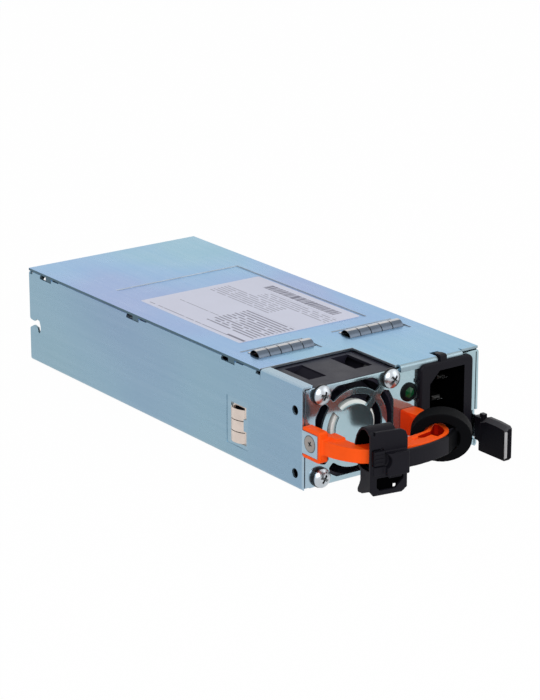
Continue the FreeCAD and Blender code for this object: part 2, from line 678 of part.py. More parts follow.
# ---------------------------------------------------------------- pull handle
def handle_plan(z):
    """Closed outline of the bar: forward round the fan, across, then back beside the inlet."""
    p = [inset(x, y, z) for x, y in (
        (1.3, -9.4), (3.0, -18.6), (6.9, -25.4), (13.0, -29.6), (21.6, -32.2), (31.2, -33.5), (41.0, -31.2),
        (45.4, -28.2), (47.5, -24.4), (50.6, -15.0), (52.6, -2.4), (45.2, -2.4), (46.4, -13.5), (44.5, -17.6),
        (38.6, -23.2), (30.0, -24.4), (19.0, -23.4), (9.6, -20.8), (9.0, -14.6), (8.2, -8.8))]
    return Part.Wire([arc(p[0], p[1], p[2]), arc(p[2], p[3], p[4]), arc(p[4], p[5], p[6]),
                      arc(p[6], p[7], p[8]), arc(p[8], p[9], p[10]), line(p[10], p[11]), line(p[11], p[12]),
                      arc(p[12], p[13], p[14]), arc(p[14], p[15], p[16]), line(p[16], p[17]),
                      arc(p[17], p[18], p[19]), line(p[19], p[0])])


def handle_bar():
    return Part.Face(handle_plan(BAR_BOTTOM)).extrude(vec(0, 0, BAR_TOP - BAR_BOTTOM))


CORNER_POCKET_DEPTH = 4.0
GROOVE_DEPTH = 1.1
PAD_PROUD = 1.0


def handle_cores():
    """Deep coring pocket in the bar's corner and a shallow groove beside it."""
    corner = [inset(x, y, BAR_TOP - CORNER_POCKET_DEPTH) for x, y in (
        (37.2, -26.2), (38.0, -30.6), (41.4, -29.4), (44.4, -27.0), (45.9, -23.8), (46.6, -20.6), (45.7, -19.4),
        (41.0, -23.4))]
    groove = [inset(x, y, BAR_TOP - GROOVE_DEPTH) for x, y in (
        (28.4, -28.6), (34.6, -28.2), (35.2, -26.6), (29.2, -26.8))]
    return [prism(corner, vec(0, 0, CORNER_POCKET_DEPTH + 1)), prism(groove, vec(0, 0, GROOVE_DEPTH + 1))]


def pull_handle():
    """Moulded bar handle: a fork round the wall tab at the left and a foot on the front plate."""
    fork = rounded_block(LEFT, LEFT + 3.8, FRONT - 10.4, FRONT - 0.1, 13.7, 25.5, 0.8, X_AXIS)
    throat = inset_box(-1, SHEET + 0.05, -TAB_LENGTH - 0.05, 1, TAB_BOTTOM - 0.1, TAB_TOP + 0.1)
    root = inset_box(SHEET + 0.05, 8.2, -9.4, -2.0, BAR_BOTTOM, BAR_TOP)
    pad = prism([inset(3.8, -8.0, BAR_TOP), inset(9.0, -8.0, BAR_TOP), inset(8.8, -14.4, BAR_TOP),
                 inset(4.6, -14.4, BAR_TOP)], vec(0, 0, PAD_PROUD))
    foot = rounded_block(LEFT + 45.2, LEFT + 52.6, FRONT - 5.4, FRONT, 13.4, BAR_TOP, 0.7, Y_AXIS)
    gusset = prism([inset(45.2, -5.4, 13.4), inset(45.2, -12.0, BAR_BOTTOM), inset(45.2, -12.0, BAR_TOP - 2),
                    inset(45.2, -3.0, BAR_TOP), inset(45.2, -3.0, 13.4)], vec(6.0, 0, 0))
    bar = cut_all(handle_bar(), handle_cores())
    handle = union([bar, fork, root, pad, foot, gusset])
    tools = [throat, rod(inset(0, TAB_SCREW_Y, TAB_SCREW_Z), X_AXIS, 1.55, 9),
             rod(inset(HANDLE_SCREW_X, -7.5, HANDLE_SCREW_Z), Y_AXIS, 1.55, 9)]
    return cut_all(handle, tools)


def handle_screws():
    """Countersunk screw through the wall tab, and a pan head from behind the front plate."""
    start = inset(0.02, TAB_SCREW_Y, TAB_SCREW_Z)
    side = Part.makeCone(3.3, 1.5, 0.98, start, X_AXIS).fuse(rod(start, X_AXIS, 1.5, 6.4))
    recess = [box(LEFT - 1, LEFT + 0.55, start.y - 1.6, start.y + 1.6, start.z - 0.4, start.z + 0.4),
              box(LEFT - 1, LEFT + 0.55, start.y - 0.4, start.y + 0.4, start.z - 1.6, start.z + 1.6)]
    side = cut_all(side, [turned(tool, start, X_AXIS, 25) for tool in recess])
    head = rod(inset(HANDLE_SCREW_X, SHEET, HANDLE_SCREW_Z), Y_AXIS, 2.9, 1.9)
    head = chamfer_where(head, 0.7, lambda edge: edge.CenterOfMass.y > FRONT + 2.8)
    rear = head.fuse(rod(inset(HANDLE_SCREW_X, -6.6, HANDLE_SCREW_Z), Y_AXIS, 1.5, 6.6 + SHEET))
    return group([side, rear])


# ---------------------------------------------------------------- cord retainer
CLIP_ORIGIN = inset(13.8, -25.6, 0)
CLIP_TURN = -9.0
CLIP_LEFT = -6.0
CLIP_RIGHT = 9.1
ARCH_RIGHT = 5.0
PLATE_FACE = 6.8
PLATE_BACK = 5.4
BUCKLE_FACE = 9.7
CLIP_WALL = 1.2
PAWL_PIVOT_X = -1.3
PAWL_LOW = 17.9
PAWL_HIGH = 23.2
STRAP_TOP = 22.4
STRAP_BOTTOM = 15.8
STRAP_HALF = 0.8
RING_CENTRE = inset(47.0, -22.0, 18.8)
RING_TURN = -40.5
RING_HALF_W = 11.3
RING_HALF_H = 9.2
RING_HOLE_HALF_W = 7.0
RING_HOLE_HALF_H = 5.8
RING_BAND = 9.0


def in_clip_frame(shape):
    """Move a shape modelled with +X along the clip and -Y outwards to the clip's place."""
    placed = turned(shape, vec(0, 0, 0), Z_AXIS, CLIP_TURN)
    return moved(placed, CLIP_ORIGIN)


def clip_arch():
    """Thin arch over the bar: down behind it and under to the flared rear leg."""
    def at(outward, z):
        return vec(CLIP_LEFT, -outward, z)
    profile = Part.Wire([
        line(at(PLATE_BACK, 29.6), at(4.6, 30.3)), arc(at(4.6, 30.3), at(1.8, 31.1), at(-1.4, 29.6)),
        arc(at(-1.4, 29.6), at(-4.1, 26.0), at(-5.3, 22.0)), arc(at(-5.3, 22.0), at(-5.0, 18.2), at(-2.6, 15.4)),
        line(at(-2.6, 15.4), at(-0.7, 13.8)), line(at(-0.7, 13.8), at(-0.7, 10.2)),
        line(at(-0.7, 10.2), at(-2.7, 6.4)), arc(at(-2.7, 6.4), at(-2.2, 5.2), at(-1.0, 5.3)),
        line(at(-1.0, 5.3), at(0.7, 8.8)), line(at(0.7, 8.8), at(0.7, 14.6)),
        line(at(0.7, 14.6), at(-1.4, 16.4)), arc(at(-1.4, 16.4), at(-3.9, 18.6), at(-4.2, 22.0)),
        arc(at(-4.2, 22.0), at(-3.1, 25.7), at(-0.8, 28.7)), arc(at(-0.8, 28.7), at(1.8, 30.0), at(4.2, 29.3)),
        line(at(4.2, 29.3), at(PLATE_BACK, 28.4)), line(at(PLATE_BACK, 28.4), at(PLATE_BACK, 29.6))])
    arch = Part.Face(profile).extrude(vec(ARCH_RIGHT - CLIP_LEFT, 0, 0))
    leg = arch.common(box(CLIP_LEFT, ARCH_RIGHT, -2, 4, 4.5, 15.0))
    return arch, moved(leg, vec(6.6 - ARCH_RIGHT, 0, 0))


def clip_plate():
    """Front plate of the clip with its cut corners, the box window and the step over the bar."""
    outline = [(CLIP_LEFT, 8.0), (-4.6, 6.1), (7.1, 6.1), (CLIP_RIGHT, 7.7), (CLIP_RIGHT, 27.0), (8.3, 29.0),
               (6.6, 29.9), (-5.0, 30.2), (CLIP_LEFT, 29.4)]
    plate = prism([vec(x, -PLATE_FACE, z) for x, z in outline], vec(0, PLATE_FACE - PLATE_BACK, 0))
    window = [(-3.3, 12.6), (-3.3, 8.7), (-2.5, 8.7), (-2.5, 7.9), (4.4, 7.9), (7.6, 11.2), (7.6, 12.6)]
    tools = [prism([vec(x, -PLATE_FACE - 1, z) for x, z in window], vec(0, 4, 0)),
             box(-4.9, -4.2, -PLATE_FACE - 1, -PLATE_BACK + 1, 28.8, 31)]
    return cut_all(plate, tools)


def clip_box_sides():
    """Closed left side and short right side of the box under the bar."""
    left = prism([vec(CLIP_LEFT, -outward, z) for outward, z in (
        (PLATE_FACE, 15.4), (-0.7, 15.4), (-0.7, 10.2), (-2.4, 6.6), (-1.0, 5.3), (0.7, 5.5), (5.4, 7.5),
        (PLATE_FACE, 8.0))], vec(CLIP_WALL, 0, 0))
    right = box(CLIP_RIGHT - CLIP_WALL, CLIP_RIGHT, -PLATE_FACE, -1.6, 8.0, 14.6)
    roof = box(CLIP_LEFT, CLIP_RIGHT, -PLATE_FACE, 0, 13.6, 14.8)
    return [left, right, roof]


def retainer_clip():
    """Saddle clip over the bar, with the buckle block and the finger box below it."""
    block = box(-0.4, 8.7, -BUCKLE_FACE, -PLATE_FACE, 13.9, 22.3)
    block = chamfer_where(block, 0.5, lambda edge: runs_along(edge, Z_AXIS)
                          and edge.CenterOfMass.y < -BUCKLE_FACE + 0.1)
    scallop = rod(vec(-1.6, -10, 19.4), Y_AXIS, 2.9, 3.0)
    ledge = box(1.6, 7.0, -PLATE_FACE, -PLATE_BACK, 11.9, 12.7)
    cheek = box(-5.0, -0.4, -PLATE_FACE - 0.9, -PLATE_FACE, 13.9, 17.2)
    pocket = box(-5.3, -0.6, -8, -4.4, PAWL_LOW - 0.3, PAWL_HIGH + 0.4)
    socket = pawl_pivot(0.5, PAWL_LOW - 0.75, PAWL_HIGH + 0.75)
    body = union(list(clip_arch()) + [clip_plate()] + clip_box_sides() + [ledge, cheek, block.cut(scallop)])
    body = in_clip_frame(cut_all(body, [pocket, socket]))
    return cut_all(body, [handle_bar(), strap_band()])


def strap_path():
    """Plan of the strap: out of the buckle, along the bar and into the ring's right side."""
    return [inset(x, y, STRAP_BOTTOM) for x, y in (
        (15.2, -34.2), (29.0, -35.0), (41.9, -32.4), (52.0, -25.7))]


def strap_band():
    start, middle, bend, end = strap_path()
    along = arc(start, middle, bend)
    tangent = (end - bend).normalize()
    across = vec(-tangent.y, tangent.x, 0) * STRAP_HALF
    first = Part.Face(offset_band(along, STRAP_HALF)).extrude(vec(0, 0, STRAP_TOP - STRAP_BOTTOM))
    second = prism([bend - across, end - across, end + across, bend + across],
                   vec(0, 0, STRAP_TOP - STRAP_BOTTOM))
    return first.fuse(second)


def offset_band(edge, half):
    """Outline of a flat band of the given half-thickness on both sides of an arc."""
    centre = edge.Curve.Center
    ends = [edge.valueAt(edge.FirstParameter), edge.valueAt(edge.LastParameter)]
    middle = edge.valueAt((edge.FirstParameter + edge.LastParameter) / 2)

    def shifted(point, distance):
        outward = (point - centre).normalize()
        return point + outward * distance
    outer = [shifted(ends[0], half), shifted(middle, half), shifted(ends[1], half)]
    inner = [shifted(ends[1], -half), shifted(middle, -half), shifted(ends[0], -half)]
    return Part.Wire([arc(*outer), line(outer[2], inner[0]), arc(*inner), line(inner[2], outer[0])])


def ellipse_slab(half_w, half_h, length):
    outline = Part.Wire(Part.Ellipse(vec(0, 0, 0), half_w, half_h).toShape())
    return Part.Face(outline).extrude(vec(0, 0, length))


def ring():
    """Thick oval collar round the bar's corner."""
    body = ellipse_slab(RING_HALF_W, RING_HALF_H, RING_BAND)
    body = body.cut(ellipse_slab(RING_HOLE_HALF_W, RING_HOLE_HALF_H, RING_BAND))
    body = turned(moved(body, vec(0, 0, -RING_BAND / 2)), vec(0, 0, 0), X_AXIS, 90)
    body = turned(body, vec(0, 0, 0), Z_AXIS, RING_TURN)
    return moved(body, RING_CENTRE)


def retainer_strap():
    """Flat strap and its ring, moulded in one."""
    return union([strap_band(), ring()])


def pawl_pivot(radius, low, high):
    """Round pivot at the pawl's end, in the thickness of the clip's plate."""
    return rod(vec(PAWL_PIVOT_X, -(PLATE_FACE + PLATE_BACK) / 2, low), Z_AXIS, radius, high - low)


def retainer_pawl():
    """Ribbed release pad in the buckle's scallop, on its own small pivot."""
    pad = box(-5.0, -0.9, -8.0, -5.4, PAWL_LOW, PAWL_HIGH)
    ribs = [box(-4.7, -1.2, -8.4, -7.9, z, z + 0.5) for z in (18.7, 20.1, 21.5)]
    pivot = pawl_pivot(0.45, PAWL_LOW - 0.7, PAWL_HIGH + 0.7)
    return in_clip_frame(union([pad, pivot] + ribs))


# ---------------------------------------------------------------- release latch
LATCH_PIN_X = 79.2
LATCH_PIN_Y = 48.0
LATCH_PIN_R = 1.4
STRIP_X0 = 80.5
STRIP_X1 = 81.3
STRIP_Z0 = 4.6
STRIP_Z1 = 13.4
EYE_TOP = 9.4
EYE_WALL = 0.8
COIL_R = 2.25
COIL_WIRE_R = 0.35
COIL_TURNS = 4
COIL_PITCH = 0.8


def latch_axis(z):
    return inset(LATCH_PIN_X, LATCH_PIN_Y, z)


def latch_lever():
    """Steel strip along the right wall, with a rolled eye behind and the catch in its window."""
    strip = inset_box(STRIP_X0, STRIP_X1, -7.0, LATCH_PIN_Y - 6, STRIP_Z0, STRIP_Z1)
    tail = inset_box(STRIP_X0, STRIP_X1, LATCH_PIN_Y - 7, LATCH_PIN_Y, STRIP_Z0, EYE_TOP)
    eye = rod(latch_axis(STRIP_Z0), Z_AXIS, LATCH_PIN_R + EYE_WALL, EYE_TOP - STRIP_Z0)
    proud = CASE_W + CATCH_PROUD
    catch = prism([inset(STRIP_X1 - 0.1, CATCH_Y0, 5.4), inset(proud, CATCH_Y0, 5.4),
                   inset(proud, CATCH_Y0 + 1.0, 5.4), inset(STRIP_X1 - 0.1, CATCH_Y1, 5.4)], vec(0, 0, 7.2))
    lever = union([strip, tail, eye, catch])
    return lever.cut(rod(latch_axis(0), Z_AXIS, LATCH_PIN_R + RUNNING_GAP, TOP))


TAB_X0 = 79.4
TAB_X1 = 82.6


def latch_thumb_tab():
    """Moulded thumb tab gripping the strip's front end."""
    corners = [(-6.0, 0.3), (-6.0, 12.9), (-9.9, 14.4), (-14.6, 14.4), (-20.6, 12.8), (-21.2, 12.0), (-21.2, 1.2),
               (-20.3, 0.3)]
    plate = prism([inset(TAB_X0, y, z) for y, z in corners], vec(TAB_X1 - TAB_X0, 0, 0))
    plate = chamfer_where(plate, 0.6, lambda edge: edge.CenterOfMass.y < FRONT - 6.5
                          and not runs_along(edge, X_AXIS))
    neck = inset_box(TAB_X0, TAB_X1 - 0.2, -6.2, -2.6, 4.2, 13.8)
    stud = inset_box(TAB_X0 + 0.2, TAB_X1 - 0.6, -8.6, -6.0, 12.9, 16.0)
    tab = union([plate, neck, stud])
    return tab.cut(inset_box(STRIP_X0, STRIP_X1, -7.0, 3, STRIP_Z0, STRIP_Z1))


def latch_bracket():
    """Bent bracket on the bottom sheet that holds the pivot pin at both ends."""
    lower = inset_box(74.8, 81.9, 44.6, 52.0, STRIP_Z0 - 1.3, STRIP_Z0 - 0.3)
    upper = inset_box(74.8, 81.9, 44.6, 52.0, STRIP_Z1 + 0.3, STRIP_Z1 + 1.3)
    post = inset_box(74.8, 75.8, 44.6, 52.0, SHEET, STRIP_Z1 + 1.3)
    foot = inset_box(74.8, 81.9, 44.6, 52.0, SHEET, SHEET + 1.0)
    bracket = union([lower, upper, post, foot])
    return bracket.cut(rod(latch_axis(0), Z_AXIS, LATCH_PIN_R, TOP))


def latch_pin():
    pin = rod(latch_axis(STRIP_Z0 - 1.3), Z_AXIS, LATCH_PIN_R, 11.4)
    head = rod(latch_axis(STRIP_Z1 + 1.3), Z_AXIS, 2.1, 0.7)
    return pin.fuse(head)


def latch_spring():
    """Torsion spring above the eye; its legs push the strip away from the bracket's post."""
    z0 = EYE_TOP
    height = COIL_PITCH * COIL_TURNS
    turns = [tube(latch_axis(z0), Z_AXIS, COIL_R + 0.1, COIL_R - COIL_WIRE_R, height)]
    for turn in range(COIL_TURNS):
        start = latch_axis(z0 + turn * COIL_PITCH + 0.1)
        turns.append(tube(start, Z_AXIS, COIL_R + COIL_WIRE_R, COIL_R - COIL_WIRE_R, COIL_PITCH - 0.2))
    low = z0 + COIL_PITCH / 2
    high = z0 + height - COIL_PITCH / 2
    front_leg = rod(latch_axis(low) + vec(COIL_R, 0, 0), vec(-0.11, -1, 0), COIL_WIRE_R, 5.9)
    rear_leg = rod(latch_axis(high) + vec(-COIL_R, 0, 0), vec(-0.07, -1, 0), COIL_WIRE_R, 5.0)
    return union(turns + [front_leg, rear_leg])


# ---------------------------------------------------------------- circuit boards and components
def main_board():
    board = inset_box(3.0, 80.0, 52.6, 186.0, BOARD_Z, BOARD_TOP)
    front = inset_box(3.0, 74.0, 31.0, 53.0, BOARD_Z, BOARD_TOP)
    tongue = inset_box(12.0, 71.0, 185, CASE_L + TONGUE_REACH, BOARD_Z, BOARD_TOP)
    board = union([board, front, tongue])
    tools = [rod(inset(x, y, BOARD_Z - 1), Z_AXIS, 1.6, BOARD_T + 2) for x, y in STANDOFF_PLACES]
    tools.append(inset_box(46.0, 47.6, CASE_L + 1, CASE_L + 12, BOARD_Z - 1, BOARD_TOP + 1))
    return cut_all(board, tools)


def card_edge_contacts():
    """Gold pads on both faces of the tongue: wide power pads, then fine signal pads."""
    pads = []
    thick = 0.06
    widths = [(13.0 + 3.3 * index, 2.7) for index in range(10)]
    widths += [(48.6 + 1.7 * index, 1.2) for index in range(13)]
    for x, width in widths:
        for z in (BOARD_Z - thick, BOARD_TOP):
            pads.append(inset_box(x, x + width, CASE_L + 0.6, CASE_L + TONGUE_REACH - 0.6, z, z + thick))
    return group(pads)


def board_insulator():
    sheet = inset_box(2.0, 81.0, 53.0, 184.0, SHEET, SHEET + 0.25)
    holes = [rod(inset(x, y, 0), Z_AXIS, 2.8, 5) for x, y in STANDOFF_PLACES]
    return cut_all(sheet, holes)


def can(x, y, radius, height):
    """Electrolytic capacitor: a sleeved can with an eased top edge and, if large, a rolled groove."""
    body = rod(inset(x, y, BOARD_TOP), Z_AXIS, radius, height)
    body = chamfer_where(body, 0.6, lambda edge: edge.CenterOfMass.z > BOARD_TOP + height - 0.1)
    if radius < 5:
        return body
    return body.cut(tube(inset(x, y, BOARD_TOP + 2.2), Z_AXIS, radius + 1, radius - 0.6, 1.0))


def bulk_capacitors():
    return group([can(17.0, y, 11.0, 30.0) for y in (64.0, 88.0)])


def output_capacitors():
    places = [(x, y) for y in (166.0, 177.0) for x in (22.0, 33.0, 44.0, 55.0)]
    return group([can(x, y, 4.0, 16.0) for x, y in places])


def filter_capacitor():
    return rounded_block(LEFT + 52.6, LEFT + 70.6, FRONT + 32, FRONT + 39, BOARD_TOP, BOARD_TOP + 15, 0.8, Z_AXIS)


def wound_ring(x, y, outer, inner, width, turns):
    """Toroid standing on edge, its winding shown as a ridged sleeve round the core."""
    z = BOARD_TOP + outer + 0.5
    ring_body = tube(inset(x - width / 2, y, z), X_AXIS, outer, inner, width)
    ridges = []
    for turn in range(turns):
        ridge = inset_box(x - width / 2 - 0.4, x + width / 2 + 0.4, y + outer - 1.2, y + outer + 0.2,
                          z - 0.8, z + 0.8)
        ridges.append(turned(ridge, inset(x, y, z), X_AXIS, 40 + 280.0 / turns * turn))
    seat = inset_box(x - width / 2, x + width / 2, y - outer * 0.6, y + outer * 0.6, BOARD_TOP, BOARD_TOP + 1.5)
    seat = seat.cut(rod(inset(x - width, y, z), X_AXIS, outer, 2 * width))
    return union([ring_body, seat] + ridges)


def common_mode_choke():
    return wound_ring(57.0, 55.0, 11.0, 5.0, 11.0, 10)


def power_factor_choke():
    return wound_ring(60.0, 82.0, 13.5, 6.0, 13.0, 12)


def transformer_core():
    """Two E-shaped ferrite halves joined round the bobbin."""
    outer = inset_box(44.0, 76.0, 100.0, 128.0, BOARD_TOP + 2.0, BOARD_TOP + 24.0)
    window = inset_box(49.0, 71.0, 99.0, 129.0, BOARD_TOP + 7.0, BOARD_TOP + 19.0)
    centre_leg = inset_box(56.0, 64.0, 100.0, 128.0, BOARD_TOP + 6.5, BOARD_TOP + 19.5)
    return union([outer.cut(window), centre_leg])


def transformer_winding():
    sleeve = inset_box(49.2, 70.8, 97.5, 130.5, BOARD_TOP + 7.2, BOARD_TOP + 18.8)
    sleeve = fillet_where(sleeve, 2.0, lambda edge: runs_along(edge, Z_AXIS))
    opening = inset_box(55.9, 64.1, 99.9, 128.1, BOARD_TOP, BOARD_TOP + 30)
    feet = [inset_box(50.0, 70.0, y, y + 2.4, BOARD_TOP, BOARD_TOP + 8) for y in (97.5, 128.1)]
    return union([sleeve.cut(opening)] + feet)


def finned_sink(x0, x1, y0, y1, height, fins):
    """Vertical aluminium wall with fins along its left side."""
    wall = inset_box(x1 - 2.4, x1, y0, y1, BOARD_TOP, BOARD_TOP + height)
    pieces = [wall]
    pitch = (height - 1.2) / (fins - 1)
    for index in range(fins):
        z = BOARD_TOP + index * pitch
        pieces.append(inset_box(x0, x1, y0, y1, z, z + 1.2))
    return union(pieces)


def primary_heatsink():
    return finned_sink(31.0, 38.0, 50.0, 108.0, 29.0, 6)


def secondary_heatsink():
    return finned_sink(14.0, 24.0, 112.0, 156.0, 29.0, 6)


def power_transistors():
    """Flat tabbed packages clamped to the heatsinks."""
    bodies = []
    for x, ys in ((38.0, (56.0, 72.0, 90.0)), (24.0, (118.0, 132.0, 146.0))):
        for y in ys:
            package = inset_box(x, x + 4.6, y - 5, y + 5, BOARD_TOP + 5, BOARD_TOP + 20)
            tab = inset_box(x, x + 1.3, y - 5, y + 5, BOARD_TOP + 20, BOARD_TOP + 24.5)
            legs = [inset_box(x + 2.2, x + 2.9, y + leg - 0.5, y + leg + 0.5, BOARD_TOP, BOARD_TOP + 5)
                    for leg in (-2.54, 0, 2.54)]
            bodies.append(union([package, tab] + legs))
    return group(bodies)


def control_board():
    board = inset_box(34.0, 35.6, 116.0, 156.0, BOARD_TOP, BOARD_TOP + 26)
    chips = [inset_box(35.6, 37.2, y, y + 8, BOARD_TOP + z, BOARD_TOP + z + 8)
             for y, z in ((120.0, 6.0), (134.0, 12.0), (146.0, 4.0))]
    return union([board] + chips)


def mains_fuse():
    middle = rod(inset(40.0, 36.0, BOARD_TOP + 3.2), X_AXIS, 2.4, 20 - 12)
    caps = [rod(inset(x, 36.0, BOARD_TOP + 3.2), X_AXIS, 2.8, 3.2) for x in (37.6, 47.2)]
    feet = [inset_box(x, x + 1.0, 35.0, 37.0, BOARD_TOP, BOARD_TOP + 3) for x in (38.6, 48.4)]
    return union([middle] + caps + feet)


# ---------------------------------------------------------------- output
NODES = (
    chassis_tray, top_cover, rear_panel, rating_label, cover_screws,
    top_spring_fingers_left, top_spring_fingers_right, side_spring_fingers,
    fan_frame, fan_rotor, rotor_yoke, fan_shaft, fan_bearing, fan_stator, fan_screws, fan_screw_washers,
    inlet_body, inlet_pins, status_lens, status_led,
    pull_handle, handle_screws, retainer_clip, retainer_strap, retainer_pawl,
    latch_lever, latch_thumb_tab, latch_bracket, latch_pin, latch_spring,
    main_board, card_edge_contacts, board_insulator, board_standoffs, board_screws,
    bulk_capacitors, output_capacitors, filter_capacitor, common_mode_choke, power_factor_choke,
    transformer_core, transformer_winding, primary_heatsink, secondary_heatsink, power_transistors,
    control_board, mains_fuse,
)


def main():
    os.makedirs("parts", exist_ok=True)
    for build in NODES:
        shape = build()
        name = build.__name__
        shape.exportStep("parts/" + name + ".step")
        low = shape.BoundBox
        print(f"{name:26s} solids {len(shape.Solids):3d}  valid {shape.isValid()}  "
              f"x {low.XMin:7.2f} {low.XMax:7.2f}  y {low.YMin:8.2f} {low.YMax:7.2f}  "
              f"z {low.ZMin:6.2f} {low.ZMax:6.2f}")


if __name__ == "__main__":
    main()
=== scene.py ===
import logging
import math
from contextlib import contextmanager
from dataclasses import dataclass, field
from enum import Enum
from typing import Callable, Iterable, Iterator, Sequence

import bmesh
import bpy
from mathutils import Matrix, Vector


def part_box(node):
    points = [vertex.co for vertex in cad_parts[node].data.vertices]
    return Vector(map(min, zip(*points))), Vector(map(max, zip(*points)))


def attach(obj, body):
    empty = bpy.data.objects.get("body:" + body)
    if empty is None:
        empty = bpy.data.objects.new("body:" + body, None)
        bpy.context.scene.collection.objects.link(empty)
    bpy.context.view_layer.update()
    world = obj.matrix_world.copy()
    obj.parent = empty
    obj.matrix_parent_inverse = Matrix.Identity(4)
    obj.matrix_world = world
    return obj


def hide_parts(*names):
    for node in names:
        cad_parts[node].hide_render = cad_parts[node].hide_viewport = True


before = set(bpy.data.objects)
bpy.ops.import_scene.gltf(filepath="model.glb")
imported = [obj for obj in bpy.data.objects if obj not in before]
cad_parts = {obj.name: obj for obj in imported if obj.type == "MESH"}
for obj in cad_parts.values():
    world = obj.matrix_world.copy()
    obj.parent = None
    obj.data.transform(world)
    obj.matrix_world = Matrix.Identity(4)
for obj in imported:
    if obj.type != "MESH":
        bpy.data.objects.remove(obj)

# Looks of a hot swap server power supply: a zinc-plated case with a caged fan, a mains inlet,
# an orange pull handle that carries a black cord retainer, and a release latch at its right side.
# Sizes in the classes are millimetres; meshes are in metres.

LOG = logging.getLogger("power_supply")
MM = 0.001

FAR = 1000.0

Triple = tuple[float, float, float]
Colour = Triple
Piece = bpy.types.Object
Socket = bpy.types.NodeSocket
Face = bmesh.types.BMFace
Test = Callable[[Face | bmesh.types.BMEdge], bool]
Value = Socket | float | Sequence[float]


class Body(str, Enum):
    """Rigid bodies that the pieces ride on."""

    CASE = "case"
    ROTOR = "rotor"
    LATCH = "latch"
    PAWL = "pawl"


class Slot(str, Enum):
    """Material slots of the record, named along with each piece; nothing here reads them."""

    ZINC = "zinc_steel"
    LABEL = "label"
    SPRING = "spring_steel"
    FAN = "fan_plastic"
    BRIGHT = "bright_steel"
    OXIDE = "oxide_steel"
    BLACK = "black_plastic"
    LENS = "lens"
    ORANGE = "orange_plastic"
    BOARD = "board"


class Facing(Enum):
    """Ways a screw's head can look, as turns that carry -Y onto them."""

    BACK = Matrix.Rotation(math.pi, 4, "Z")
    LEFT = Matrix.Rotation(-math.pi / 2, 4, "Z")
    RIGHT = Matrix.Rotation(math.pi / 2, 4, "Z")


def mm(x: float, y: float, z: float) -> Vector:
    """Return a point given in millimetres."""
    return Vector((x, y, z)) * MM


def turned(angle: float, axis: str) -> Matrix:
    """Return a turn about an axis, in degrees."""
    return Matrix.Rotation(math.radians(angle), 4, axis)


def middle(face: Face) -> Vector:
    """Return the middle of a face, in metres."""
    return face.calc_center_median()


@dataclass(frozen=True)
class Zone:
    """A box in millimetres that tells where a face lies."""

    low: Triple = (-FAR, -FAR, -FAR)
    high: Triple = (FAR, FAR, FAR)

    def corners(self) -> tuple[Vector, Vector]:
        """Return its two corners, in metres."""
        return mm(*self.low), mm(*self.high)

    def holds(self, point: Vector) -> bool:
        """Tell whether a point in metres lies inside."""
        return all(low < value / MM < high for low, value, high in zip(self.low, point, self.high))


